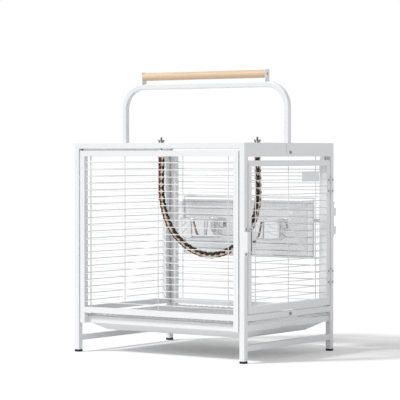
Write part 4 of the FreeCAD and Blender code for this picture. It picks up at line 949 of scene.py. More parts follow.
class CAGE_OT_grate(bpy.types.Operator):
    """Welds the floor grate: a round frame, wires lapped across it, two stays and a flat tab"""

    bl_idname = "cage.grate"
    bl_label = "Grate"

    def execute(self, context):
        low, high = limits("grate")
        frame_radius, radius, pitch = 0.002, 0.0015, 0.0192
        level = low[2] + frame_radius
        lapped = level + frame_radius + radius - 0.0003
        x0, x1 = low[0] + frame_radius, high[0] - frame_radius
        y0, y1 = low[1] + frame_radius, high[1] - frame_radius
        middle = (low[1] + high[1]) / 2
        pieces = Pieces()
        sides = [[(x0, y, level), (x1, y, level)] for y in (y0, middle - 0.13, middle + 0.13, y1)]
        ends = [[(x, low[1], level), (x, high[1], level)] for x in (x0, x1)]
        bars = np.array(sides + ends)
        add_rods(pieces, bars[:, 0], bars[:, 1], frame_radius, 12, 0.5)
        count = int((x1 - x0 - 0.018) // pitch) + 1
        first = (x0 + x1) / 2 - (count - 1) * pitch / 2
        places = [first + number * pitch for number in range(count)]
        wires = np.array([[(x, low[1], lapped), (x, high[1], lapped)] for x in places])
        add_rods(pieces, wires[:, 0], wires[:, 1], radius, 10, 0.6)
        bars_at = (y0, middle - 0.13, middle + 0.13, y1)
        welds = [(x, y, level + frame_radius * 0.8) for x in places for y in bars_at]
        add_blobs(pieces, welds, (0.0021, 0.0021, 0.0014))
        pull_low, pull_high = limits("tray_pull")
        outline = rounded_outline(pull_high[1] - pull_low[1], 0.0075, 0.0025, 5)
        spot = (high[0] - 0.001, middle, low[2] + 0.00375)
        add_slab(pieces, outline, spot, WORLD_Y, WORLD_Z, WORLD_X, 0.001, 0.0003)
        dress(pieces.make("floor_grate", 60), FINISHES["wire_paint"], "wire_paint", "grate", "grate")
        return {"FINISHED"}


class CAGE_OT_feeder(bpy.types.Operator):
    """Welds the feeder door with its sleeves and tab, and makes the rod that drops to lock it"""

    bl_idname = "cage.feeder"
    bl_label = "Feeder door"

    def execute(self, context):
        sizes = context.scene.cage_wires
        low, high = limits("feeder_door")
        back_low, back_high = limits("back_wires")
        radius, thin = 0.002, sizes.thickness / 2
        pivot = back_low[0] + sizes.long_inset
        right = back_high[0] - sizes.long_inset
        gap = 0.0043 + radius - 0.0003
        x0, x1 = pivot + gap, right - gap
        z0, z1 = low[2] + radius, high[2] - radius
        depth = back_high[1] - thin - (sizes.thickness - 0.0003)
        outer = back_high[1] - thin
        pieces = Pieces()
        bars = [[(x0, depth, z), (x1, depth, z)] for z in (z0, z1)]
        bars += [[(x, depth, z0 - radius), (x, depth, z1 + radius)] for x in (x0, x1, (x0 + x1) / 2)]
        bars = np.array(bars)
        add_rods(pieces, bars[:, 0], bars[:, 1], radius, 12, 0.6)
        gap_low = back_low[2] + sizes.first + sizes.feeder_row * sizes.pitch
        heights = [gap_low + (n + 1) * sizes.pitch for n in range(sizes.feeder_gaps - 1)]
        rows = np.array([[(x0, outer, z), (x1, outer, z)] for z in heights])
        add_rods(pieces, rows[:, 0], rows[:, 1], thin, 10, 0.3)
        welds = [(x, outer - 0.0008, z) for z in heights for x in (x0, x1, (x0 + x1) / 2)]
        add_blobs(pieces, welds, (0.0019, 0.0016, 0.0017))
        for row in (1.5, sizes.feeder_gaps - 1.5):
            middle = gap_low + row * sizes.pitch
            half, bore, wall, edge = 0.006, 0.00125, 0.0043, 0.0005
            profile = [
                (bore, -half + edge),
                (bore + edge, -half),
                (wall - edge, -half),
                (wall, -half + edge),
                (wall, half - edge),
                (wall - edge, half),
                (bore + edge, half),
                (bore, half - edge),
                (bore, -half + edge),
            ]
            add_turned(pieces, profile, (pivot, depth, middle), sides=20)
        tab_middle = gap_low + 5.5 * sizes.pitch
        web = rounded_outline(high[1] - depth - radius * 0.4, 0.01, 0.0008, 3)
        web_y = (high[1] + depth + radius * 0.4) / 2
        add_slab(pieces, web, (x1 - 0.001, web_y, tab_middle), WORLD_Y, WORLD_Z, WORLD_X, 0.002, 0.0003)
        tab_length = high[0] - x1 + 0.001
        tab = rounded_outline(tab_length, 0.01, 0.003, 5)
        spot = (high[0] - tab_length / 2, high[1] - 0.002, tab_middle)
        add_slab(pieces, tab, spot, WORLD_X, WORLD_Z, WORLD_Y, 0.002, 0.0004)
        door = pieces.make("feeder_wire_door", 60)
        dress(door, FINISHES["wire_paint"], "wire_paint", "feeder_door", "feeder_door")

        low, high = limits("feeder_drop_rod")
        centre_x, centre_y = high[0] - 0.005, (low[1] + high[1]) / 2
        pieces = Pieces()
        shaft, head, length, flat = 0.0032, 0.005, high[2] - low[2], 0.004
        profile = [
            (0.0012, 0.0),
            (0.0024, 0.0004),
            (shaft, 0.0014),
            (shaft, length - flat - 0.0003),
            (shaft + 0.0004, length - flat),
            (head - 0.0006, length - flat),
            (head, length - flat + 0.0006),
            (head, length - 0.0012),
            (head - 0.0012, length),
            (0.001, length),
        ]
        add_turned(pieces, profile, (centre_x, centre_y, low[2]), sides=24)
        reach = centre_x - low[0]
        finger_z = (0.3598 + 0.3678) / 2
        outline = rounded_outline(reach, 0.008, 0.002, 5)
        spot = (low[0] + reach / 2, centre_y - 0.002, finger_z)
        add_slab(pieces, outline, spot, WORLD_X, WORLD_Z, WORLD_Y, 0.004, 0.0007)
        rod = pieces.make("feeder_lock_rod")
        dress(rod, FINISHES["wire_paint"], "wire_paint", "feeder_drop_rod", "feeder_drop_rod")
        return {"FINISHED"}


# Cups


class CAGE_OT_cups(bpy.types.Operator):
    """Spins the two cups, with a rolled lip and a domed floor"""

    bl_idname = "cage.cups"
    bl_label = "Cups"

    def execute(self, context):
        sizes = context.scene.cage_cups
        for side in ("left", "right"):
            low, high = limits(f"cup_{side}")
            rim, depth = (high[0] - low[0]) / 2, high[2] - low[2]
            mouth, wall, bend = rim - sizes.lip, sizes.wall, sizes.foot_bend
            base = mouth - sizes.taper
            turn = np.linspace(0, math.pi / 2, 9)
            outer = [(0.0006, 0.0006), (base * 0.45, 0.0005), (base * 0.62, 0.0), (base - bend, 0.0)]
            outer += [(base - bend + bend * math.sin(a), bend - bend * math.cos(a)) for a in turn[1:]]
            slope = np.linspace(0, 1, 6)[1:]
            neck = depth - 2 * 0.0014
            outer += [(base + (mouth - base) * s, bend + (neck - bend) * s) for s in slope]
            roll = np.linspace(-math.pi * 0.5, math.pi * 1.0, 13)
            bead = sizes.lip / 2
            centre = (rim - bead, depth - bead)
            outer += [(centre[0] + bead * math.cos(a), centre[1] + bead * math.sin(a)) for a in roll[1:]]
            inside = [(mouth - wall, neck)]
            inside += [(base - wall + (mouth - base) * s, bend + (neck - bend) * s) for s in slope[::-1][1:]]
            bend_in = bend - wall
            corner = base - bend
            inside += [(corner + bend_in * math.sin(a), bend - bend_in * math.cos(a)) for a in turn[::-1]]
            inside += [(base * 0.62, wall), (base * 0.45, wall + 0.0005), (0.0006, wall + 0.0006)]
            profile = outer + inside
            centre_of_cup = ((low[0] + high[0]) / 2, (low[1] + high[1]) / 2, low[2])
            pieces = Pieces()
            add_turned(pieces, profile, centre_of_cup, sides=sizes.sides)
            cup = pieces.make(f"steel_cup_{side}", 55)
            dress(cup, FINISHES["cup_steel"], "cup_steel", f"cup_{side}", f"cup_{side}")
        return {"FINISHED"}


class CAGE_OT_cup_rings(bpy.types.Operator):
    """Bends the wire rings that hold the cups, with their arms and plates"""

    bl_idname = "cage.cup_rings"
    bl_label = "Cup rings"

    def execute(self, context):
        wire = 0.002
        for side in ("left", "right"):
            low, high = limits(f"cup_ring_{side}")
            cup_low, cup_high = limits(f"cup_{side}")
            centre = ((cup_low[0] + cup_high[0]) / 2, (cup_low[1] + cup_high[1]) / 2, high[2] - wire)
            ring_radius = (high[0] - low[0]) / 2 - wire
            tube = circle(wire, 12)
            profile = [(ring_radius + x, z) for x, z in tube]
            pieces = Pieces()
            add_turned(pieces, profile + profile[:1], centre, sides=96)
            spread = 0.025
            plate_face = 0.1958
            reach = math.sqrt(ring_radius**2 - spread**2)
            starts = [(centre[0] + s * spread, centre[1] + reach, centre[2]) for s in (-1, 1)]
            ends = [(x, plate_face + 0.0004, z) for x, _, z in starts]
            add_rods(pieces, starts, ends, wire, 12, 0.3)
            add_blobs(pieces, starts, (0.0032, 0.0026, 0.0024), 10, 6)
            welds = [(x, plate_face + 0.0002, z) for x, _, z in starts]
            add_blobs(pieces, welds, (0.0036, 0.0014, 0.0022), 10, 6)
            outline = rounded_outline(0.074, 0.026, 0.004, 6)
            spot = (centre[0], plate_face, high[2] - 0.013)
            add_slab(pieces, outline, spot, WORLD_X, WORLD_Z, WORLD_Y, 0.0015, 0.0004)
            ring = pieces.make(f"cup_holder_{side}", 60)
            dress(ring, FINISHES["wire_paint"], "wire_paint", "feeder_door", f"cup_ring_{side}")
        return {"FINISHED"}


class CAGE_OT_guard(bpy.types.Operator):
    """Polishes the rims of the clear guard and its two wings"""

    bl_idname = "cage.guard"
    bl_label = "Splash guard"

    def execute(self, context):
        guard = softened("clear_splash_guard", "splash_guard", 0.0005)
        dress(guard, FINISHES["guard_clear"], "guard_clear", "feeder_door", "splash_guard")
        return {"FINISHED"}


# Tray


class CAGE_OT_tray(bpy.types.Operator):
    """Presses the tray: a rim, a ledge, sloped walls and a flat floor, all with rounded corners"""

    bl_idname = "cage.tray"
    bl_label = "Tray"

    def execute(self, context):
        low, high = limits("tray")
        sheet, ledge, slope = 0.001, 0.006, 0.038
        shelf, rim = 0.0815, 0.0895
        floor = low[2]
        corner = 0.006

        def level(inset, height, radius):
            return (low[:2] + inset, high[:2] - inset, height, radius)

        outside = [
            level(0.0012, rim - 0.0004, corner - 0.001),
            level(0.0006, rim - 0.0002, corner),
            level(0.0003, rim - 0.0008, corner),
            level(0.0003, shelf + 0.0012, corner),
            level(0.0006, shelf + 0.0003, corner),
            level(0.0012, shelf, corner),
            level(ledge - 0.001, shelf, 0.014),
            level(ledge, shelf - 0.0005, 0.014),
            level(ledge + 0.002, shelf - 0.0022, 0.014),
            level(ledge + slope - 0.003, floor + 0.0012, 0.012),
            level(ledge + slope, floor, 0.012),
            level(ledge + slope + 0.06, floor, 0.012),
        ]
        inside = [
            level(ledge + slope + 0.06, floor + sheet, 0.012),
            level(ledge + slope + sheet, floor + sheet, 0.012),
            level(ledge + slope - 0.002, floor + sheet + 0.0011, 0.012),
            level(ledge + 0.003, shelf + sheet - 0.0022, 0.013),
            level(ledge + 0.001, shelf + sheet - 0.0005, 0.013),
            level(ledge - 0.0002, shelf + sheet, 0.013),
            level(0.0026, shelf + sheet, corner - sheet),
            level(0.0014, shelf + sheet + 0.0004, corner - sheet),
            level(sheet, shelf + sheet + 0.0014, corner - sheet),
            level(sheet, rim - 0.001, corner - sheet),
        ]
        pieces = Pieces()
        add_levels(pieces, outside + inside, closed=True)
        front = rounded_outline(high[1] - low[1], high[2] - shelf, 0.004, 6)
        spot = (high[0] - sheet, (low[1] + high[1]) / 2, (high[2] + shelf) / 2)
        add_slab(pieces, front, spot, WORLD_Y, WORLD_Z, WORLD_X, sheet, 0.0003)
        floor_outline = rounded_outline(*(high[:2] - low[:2] - 2 * (ledge + slope) - 0.11), 0.012, 6)
        sunk = 0.0001
        spot = (*((low[:2] + high[:2]) / 2), floor + sunk)
        add_slab(pieces, floor_outline, spot, WORLD_X, WORLD_Y, WORLD_Z, sheet - 2 * sunk, 0.0001)
        dress(pieces.make("pressed_tray"), FINISHES["frame_paint"], "frame_paint", "tray", "tray")
        return {"FINISHED"}


# Perch on the handle


class CAGE_OT_dowel(bpy.types.Operator):
    """Turns the dowel perch, with eased ends and a slight waviness from sanding"""

    bl_idname = "cage.dowel"
    bl_label = "Dowel perch"

    def execute(self, context):
        low, high = limits("perch_dowel")
        radius, length, sides = (high[2] - low[2]) / 2, high[0] - low[0], 48
        ease = 0.0012
        turn = np.linspace(0, math.pi / 2, 5)
        start = [(radius - ease + ease * math.sin(a), ease - ease * math.cos(a)) for a in turn]
        middle = np.linspace(0.02, length - 0.02, 24)
        wave = 0.00006 * (np.sin(middle * 61.0) + np.sin(middle * 23.0 + 1.0) - 2.0)
        waist = [(radius + w, z) for w, z in zip(wave, middle)]
        end = [(r, length - z) for r, z in start[::-1]]
        inner = [(0.0008, 0.0)] + start + waist + end + [(0.0008, length)]
        pieces = Pieces()
        centre = (low[0], (low[1] + high[1]) / 2, (low[2] + high[2]) / 2)
        add_turned(pieces, inner, centre, WORLD_X, sides)
        dress(pieces.make("turned_dowel"), FINISHES["dowel_wood"], "dowel_wood", "cage", "perch_dowel")
        return {"FINISHED"}


# Screws, bolts and nuts


def add_screw_head(pieces, centre, out, radius, height, cross=0.62, sides=48):
    """Adds a pan head: height falls off as a superellipse of the radius, less a cross recess whose
    depth runs from the rim of each arm to a flat bottom."""
    out = np.asarray(out, float)
    share = np.array([0.03, 0.16, 0.3, 0.44, 0.56, 0.68, 0.8, 0.9, 0.97, 1.0])
    ring = circle(1.0, sides)
    across = np.abs(share[:, None] * ring[None, :, 0])
    along = np.abs(share[:, None] * ring[None, :, 1])
    narrow = np.minimum(across, along)
    wide = np.maximum(across, along)
    dome = np.sqrt(np.clip(1 - (share * 0.985) ** 4, 0, 1))[:, None]
    recess = np.clip((0.15 - narrow) / 0.05, 0, 1) * np.clip((cross - wide) / 0.12, 0, 1)
    level = height * (0.35 + 0.65 * dome) - 0.55 * height * recess
    level[-1] = height * 0.3
    side_a = WORLD_Z if abs(out[2]) < 0.5 else WORLD_X
    side_b = np.cross(out, side_a)
    turn = math.radians(20)
    spread_a = math.cos(turn) * side_a + math.sin(turn) * side_b
    spread_b = np.cross(out, spread_a)
    flat = radius * share[:, None, None] * (ring[None, :, :1] * spread_a + ring[None, :, 1:] * spread_b)
    face = np.asarray(centre) + flat + level[:, :, None] * out
    skirt = np.asarray(centre) + radius * (ring[:, :1] * spread_a + ring[:, 1:] * spread_b)
    points = np.concatenate([face.reshape(-1, 3), skirt])
    return pieces.add(points, rings(len(share) + 1, sides))


def screw_places(node, axis, out, head):
    """Where the heads of a node's screws sit: the middle of each of its separate solids, on the
    side that the heads look to, found from the points that lie furthest that way."""
    mesh = frame["nodes"][node].data
    count = len(mesh.vertices)
    points = np.empty(count * 3)
    mesh.vertices.foreach_get("co", points)
    points = points.reshape(-1, 3)
    others = [index for index in range(3) if index != axis]
    cells = np.round(points[:, others] / (head * 1.3)).astype(int)
    found = []
    left = np.ones(count, bool)
    while left.any():
        seed = points[left][0]
        near = left & (np.linalg.norm(points[:, others] - seed[others], axis=1) < head * 1.25)
        group = points[near]
        middle = (group.min(0) + group.max(0)) / 2
        middle[axis] = group[:, axis].max() if out > 0 else group[:, axis].min()
        found.append(middle)
        left &= ~near
    return found


SCREWS = {
    "post_screws": (0, 1, "cage"),
    "door_screws": (0, 1, "door"),
    "ring_screws": (1, -1, "feeder_door"),
}


class CAGE_OT_screws(bpy.types.Operator):
    """Makes the pan head screws of hinges, latch, runners, rails, perch and cup rings"""

    bl_idname = "cage.screws"
    bl_label = "Screws"

    def execute(self, context):
        steel = FINISHES["screw_steel"]
        head_radius, height = 0.0028, 0.0012
        for node, (axis, out, body) in SCREWS.items():
            direction = np.eye(3)[axis] * out
            pieces = Pieces()
            for place in screw_places(node, axis, out, 0.0056):
                seat = place - direction * height
                add_screw_head(pieces, seat, direction, head_radius, height)
                add_rods(pieces, seat - direction * 0.0055, seat + direction * 0.0003, 0.0014, 10, 0.3)
            dress(pieces.make(f"pan_head_{node}", 30), steel, "screw_steel", body, node)
        for node, axis, radius, height in (
            ("frame_screws", 0, 0.0045, 0.0027),
            ("perch_screws", 0, 0.0028, 0.0012),
            ("runner_screws", 1, 0.0028, 0.0012),
        ):
            low, high = limits(node)
            middle = (low + high) / 2
            pieces = Pieces()
            for out in (-1, 1):
                direction = np.eye(3)[axis] * out
                inwards = node == "runner_screws"
                for place in sided_places(node, axis, out, middle, radius * 2):
                    head_out = -direction if inwards else direction
                    seat = place - head_out * height
                    add_screw_head(pieces, seat, head_out, radius, height)
                    add_rods(pieces, seat - head_out * 0.005, seat + head_out * 0.0003, 0.0014, 10, 0.3)
            dress(pieces.make(f"pan_head_{node}", 30), steel, "screw_steel", "cage", node)
        nuts_low, nuts_high = limits("ring_nuts")
        pieces = Pieces()
        for place in screw_places("ring_nuts", 1, -1, 0.0064):
            add_hex_nut(pieces, place, WORLD_Y, 0.0064, 0.0022, 0.0015)
        dress(pieces.make("cup_ring_nuts", 30), steel, "screw_steel", "feeder_door", "ring_nuts")
        return {"FINISHED"}


def sided_places(node, axis, out, middle, head):
    """Heads of the screws on one side of the cage: the points of that half alone are grouped."""
    mesh = frame["nodes"][node].data
    points = np.empty(len(mesh.vertices) * 3)
    mesh.vertices.foreach_get("co", points)
    points = points.reshape(-1, 3)
    points = points[(points[:, axis] - middle[axis]) * out > 0]
    others = [index for index in range(3) if index != axis]
    found = []
    while len(points):
        near = np.linalg.norm(points[:, others] - points[0, others], axis=1) < head * 1.25
        group = points[near]
        spot = (group.min(0) + group.max(0)) / 2
        inwards = node == "runner_screws"
        far = group[:, axis].min() if (out > 0) == inwards else group[:, axis].max()
        spot[axis] = far
        found.append(spot)
        points = points[~near]
    return found


def add_hex_nut(pieces, foot, axis, width, height, bore, sides=48):
    """Adds a nut: its wall stands at half the width over the cosine of the turn from a flat's
    middle, and no further out at either face than a cone that chamfers its corners."""
    axis = np.asarray(axis, float)
    side_a = WORLD_Z if abs(axis[2]) < 0.5 else WORLD_X
    side_b = np.cross(axis, side_a)
    turn = np.arange(sides) * 2 * math.pi / sides
    wall = width / 2 / np.cos((turn + math.pi / 6) % (math.pi / 3) - math.pi / 6)
    drop = height * 0.12
    levels = [
        (bore + 0.0003, 0.0, True),
        (width * 0.47, 0.0, True),
        (width * 0.52, drop, False),
        (width, drop * 1.6, False),
        (width, height - drop * 1.6, False),
        (width * 0.52, height - drop, False),
        (width * 0.47, height, True),
        (bore + 0.0003, height, True),
        (bore, height - 0.0003, True),
        (bore, 0.0003, True),
    ]
    loops = []
    for reach, level, round_one in levels:
        radius = np.full(sides, reach) if round_one else np.minimum(wall, reach)
        spread = radius[:, None] * (np.cos(turn)[:, None] * side_a + np.sin(turn)[:, None] * side_b)
        loops.append(np.asarray(foot) + spread + level * axis)
    return pieces.add(np.concatenate(loops), rings(len(levels), sides, closed=True))


class CAGE_OT_bolts(bpy.types.Operator):
    """Cuts the threads of the rope's bolts and makes their washers, lock nuts and wing nuts"""

    bl_idname = "cage.bolts"
    bl_label = "Bolts and wing nuts"

    def execute(self, context):
        low, high = limits("rope_bolts")
        places = [(low[0] + 0.003, (low[1] + high[1]) / 2), (high[0] - 0.003, (low[1] + high[1]) / 2)]
        pieces = Pieces()
        pitch, crest, root = 0.001, 0.003, 0.0025
        length = high[2] - low[2]
        count = int(length / pitch) - 1
        for x, y in places:
            profile = [(0.0006, 0.0), (root, 0.0)]
            for turn in range(count):
                thread = ((root, 0.1), (crest, 0.45), (crest, 0.6))
                profile += [(radius, (turn + share) * pitch) for radius, share in thread]
            profile += [(root, (count + 0.1) * pitch), (root - 0.0004, length), (0.0006, length)]
            add_turned(pieces, profile, (x, y, low[2]), sides=20)
        bolts = pieces.make("threaded_bolts", 30)
        dress(bolts, FINISHES["screw_steel"], "screw_steel", "cage", "rope_bolts")

        bar_low, bar_high = limits("roof_bar")
        pieces = Pieces()
        bore, rim, thick = 0.0032, 0.0075, 0.0012
        for x, y in places:
            for foot in (bar_low[2] - thick, bar_high[2]):
                edge = 0.0002
                profile = [
                    (bore, edge),
                    (bore + edge, 0.0),
                    (rim - edge, 0.0),
                    (rim, edge),
                    (rim, thick - edge),
                    (rim - edge, thick),
                    (bore + edge, thick),
                    (bore, thick - edge),
                    (bore, edge),
                ]
                add_turned(pieces, profile, (x, y, foot), sides=40)
            add_hex_nut(pieces, (x, y, bar_low[2] - thick - 0.005), WORLD_Z, 0.010, 0.005, 0.00305)
        fixings = pieces.make("washers_and_lock_nuts", 30)
        dress(fixings, FINISHES["screw_steel"], "screw_steel", "cage", "rope_nuts_and_washers")

        for side, (x, y) in zip(("left", "right"), places):
            node = f"wing_nut_{side}"
            low, high = limits(node)
            nut = wing_nut(node, x, y, low[2], high[2] - low[2], (high[0] - low[0]) / 2)
            dress(nut, FINISHES["nut_steel"], "nut_steel", node, node)
        return {"FINISHED"}


def wing_nut(name, x, y, foot, height, reach):
    """A coned hub and two ears: each ear is an ellipse carried out and up along a quarter turn,
    broad in its middle, and drawn in where it leaves the hub and at its rounded tip."""
    pieces = Pieces()
    bore, hub = 0.00305, 0.0055
    profile = [
        (bore, 0.0004),
        (bore + 0.0003, 0.0),
        (hub - 0.0005, 0.0),
        (hub, 0.0005),
        (hub, 0.0028),
        (hub - 0.0012, 0.0063),
        (hub - 0.0016, 0.007),
        (bore + 0.0003, 0.007),
        (bore, 0.0066),
        (bore, 0.0004),
    ]
    add_turned(pieces, profile, (x, y, foot), sides=32)
    share = np.linspace(0, 1, 15)
    breadth = 0.0031 * np.sqrt(np.clip(1 - ((share - 0.52) / 0.56) ** 4, 0.02, 1))
    thick = 0.0011 + 0.0004 * share
    thick[-1] *= 0.5
    out_x = 0.0036 + (reach - 0.0029 - 0.0036) * share**0.9
    up_z = 0.0036 + (height - 0.0029 - 0.0036) * share**1.3
    outline = circle(1.0, 16)
    for side in (-1, 1):
        path = np.stack([x + side * out_x, np.full(15, y), foot + up_z], -1)
        line = np.gradient(path, axis=0)
        line /= np.linalg.norm(line, axis=1)[:, None]
        across = np.repeat(WORLD_Y[None, :], 15, 0) * thick[:, None]
        up = np.cross(line, WORLD_Y) * breadth[:, None]
        pieces.add(carried(outline, path, across, up), rings(15, 16))
    return pieces.make(f"shaped_{name}", 50)


class CAGE_OT_pins(bpy.types.Operator):
    """Turns the hinge pins, with a small dome on each head"""

    bl_idname = "cage.pins"
    bl_label = "Hinge pins"

    def execute(self, context):
        low, high = limits("hinge_pins")
        x, y = (low[0] + high[0]) / 2, (low[1] + high[1]) / 2
        pieces = Pieces()
        head, flat, shaft, length = 0.0025, 0.001, 0.00125, 0.044
        for foot in (low[2], high[2] - length):
            profile = [
                (0.0006, 0.0),
                (head * 0.6, 0.0001),
                (head, 0.0006),
                (head, flat),
                (shaft, flat),
                (shaft, length - flat),
                (head, length - flat),
                (head, length - 0.0006),
                (head * 0.6, length - 0.0001),
                (0.0006, length),
            ]
            add_turned(pieces, profile, (x, y, foot), sides=24)
        pins = pieces.make("domed_hinge_pins", 35)
        dress(pins, FINISHES["screw_steel"], "screw_steel", "cage", "hinge_pins")
        return {"FINISHED"}


# Rope perch

ROUTE = [
    (-0.15185, 0.528),
    (-0.15325, 0.478),
    (-0.15275, 0.425),
    (-0.13925, 0.364),
    (-0.10725, 0.314),
    (-0.05825, 0.278),
    (0.00575, 0.258),
    (0.06575, 0.270),
    (0.12175, 0.303),
    (0.15575, 0.352),
    (0.17075, 0.408),
    (0.17025, 0.468),
    (0.16775, 0.528),
]
ROPE_DEPTH = -0.0067
STRANDS = (
    ("strand_black", 26),
    ("strand_black", -19),
    ("strand_cream", -64),
    ("strand_wine", -109),
    ("strand_mixed", -154),
    ("strand_cream", 161),
    ("strand_cream", 116),
    ("strand_rust", 71),
)


def route_line(points):
    """Points along the smooth NURBS line of a route."""
    curve = bpy.data.curves.new("rope_route", "CURVE")
    curve.dimensions = "3D"
    spline = curve.splines.new("NURBS")
    spline.points.add(len(points) - 1)
    for point, place in zip(spline.points, points):
        point.co = (*place, 1.0)
    spline.order_u = 3
    spline.use_endpoint_u = True
    spline.resolution_u = 24
    holder = bpy.data.objects.new("rope_route", curve)
    bpy.context.scene.collection.objects.link(holder)
    line = bpy.data.meshes.new_from_object(holder)
    places = np.empty(len(line.vertices) * 3)
    line.vertices.foreach_get("co", places)
    bpy.data.objects.remove(holder)
    bpy.data.curves.remove(curve)
    bpy.data.meshes.remove(line)
    return places.reshape(-1, 3)


def even_steps(line, step):
    """The line's points moved along it to equal distances, with the distance of each."""
    gone = np.concatenate([[0], np.cumsum(np.linalg.norm(np.diff(line, axis=0), axis=1))])
    count = int(round(gone[-1] / step)) + 1
    marks = np.linspace(0, gone[-1], count)
    return np.stack([np.interp(marks, gone, line[:, axis]) for axis in range(3)], -1), marks


class CAGE_OT_rope(bpy.types.Operator):
    """Plaits the rope perch from eight flat strands that follow its hanging line: each swings to and
    fro about its own angle round the rope, and rises over one neighbour as it dips under the other"""

    bl_idname = "cage.rope"
    bl_label = "Rope perch"

    def execute(self, context):
        sizes = context.scene.cage_rope
        line, marks = even_steps(route_line([(x, ROPE_DEPTH, z) for x, z in ROUTE]), sizes.step)
        tangent = np.gradient(line, axis=0)
        tangent /= np.linalg.norm(tangent, axis=1)[:, None]
        normal = np.cross(tangent, WORLD_Y)
        normal /= np.linalg.norm(normal, axis=1)[:, None]
        wide, deep = sizes.strand_width / 2, sizes.strand_depth / 2
        middle_radius = sizes.thickness / 2 - sizes.weave - deep - 0.0001
        turn = np.arange(sizes.sides) * 2 * math.pi / sizes.sides
        swing = np.cos(2 * math.pi * marks / sizes.plait)
        drift = 2 * math.pi * (marks - sizes.lay_start) / sizes.lay
        rope = None
        for number, (name, start) in enumerate(STRANDS):
            way = 1 if number % 2 == 0 else -1
            around = math.radians(start) + way * math.radians(sizes.sway) * swing - drift
            outward = np.cos(around)[:, None] * normal + np.sin(around)[:, None] * WORLD_Y
            middle = line + (middle_radius + way * sizes.weave * swing)[:, None] * outward
            along = np.gradient(middle, axis=0)
            along /= np.linalg.norm(along, axis=1)[:, None]
            sideways = np.cross(along, outward)
            sideways /= np.linalg.norm(sideways, axis=1)[:, None]
            phase = turn[None, :] - 2 * math.pi * marks[:, None] / sizes.yarn_lay
            swell = 0.955 + 0.045 * np.abs(np.cos(sizes.yarns * phase / 2)) ** 0.7
            points = middle[:, None, :] + swell[..., None] * (
                deep * np.cos(turn)[None, :, None] * outward[:, None, :]
                + wide * np.sin(turn)[None, :, None] * sideways[:, None, :]
            )
            lay = np.stack([np.cos(phase), np.sin(phase), np.repeat(marks[:, None], sizes.sides, 1)], -1)
            pieces = Pieces()
            pieces.add(points.reshape(-1, 3), rings(len(marks), sizes.sides), lay.reshape(-1, 3))
            made = pieces.make(f"rope_strand_{number}", 60, lay=True)
            made.data.materials.append(FINISHES[name])
            if rope is None:
                rope = made
            else:
                rope = joined(rope, made)
        rope.name = "plaited_rope_perch"
        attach(rope, "cage")
        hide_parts("rope_perch")
        return {"FINISHED"}


def joined(first, second):
    """Adds the second object's mesh to the first, each with its own material."""
    work = bmesh.new()
    work.from_mesh(first.data)
    count = len(work.faces)
    shift = len(first.data.materials)
    for finish in second.data.materials:
        first.data.materials.append(finish)
    work.from_mesh(second.data)
    work.faces.ensure_lookup_table()
    for face in work.faces[count:]:
        face.material_index = shift
    work.to_mesh(first.data)
    work.free()
    bpy.data.objects.remove(second)
    first.data.update()
    return first


class CAGE_OT_ferrules(bpy.types.Operator):
    """Moulds the ferrules that grip the rope's ends, each with a collar and three grip ribs"""

    bl_idname = "cage.ferrules"
    bl_label = "Rope ferrules"

    def execute(self, context):
        low, high = limits("rope_ferrules")
        radius, height = (high[1] - low[1]) / 2, high[2] - low[2]
        middle = (low[1] + high[1]) / 2
        pieces = Pieces()
        bore = 0.0031
        mouth = 0.0088
        profile = [
            (mouth, 0.001),
            (radius - 0.0006, 0.0),
            (radius, 0.0006),
            (radius, 0.0032),
            (radius - 0.0006, 0.0038),
        ]
        for rib in range(3):
            base = 0.0050 + rib * 0.0036
            profile += [
                (radius - 0.0006, base),
                (radius - 0.0001, base + 0.0007),
                (radius - 0.0001, base + 0.0015),
                (radius - 0.0006, base + 0.0022),
            ]
        profile += [
            (radius - 0.0006, height - 0.0030),
            (radius - 0.0014, height - 0.0012),
            (radius - 0.0030, height - 0.0002),
            (radius - 0.0045, height),
            (bore + 0.0005, height),
            (bore, height - 0.0005),
            (bore, 0.0035),
            (mouth, 0.003),
            (mouth, 0.001),
        ]
        for x in (low[0] + radius, high[0] - radius):
            add_turned(pieces, profile, (x, middle, low[2]), sides=56)
        ferrules = pieces.make("rope_end_ferrules", 50)
        dress(ferrules, FINISHES["ferrule_plastic"], "ferrule_plastic", "cage", "rope_ferrules")
        return {"FINISHED"}


# Stage


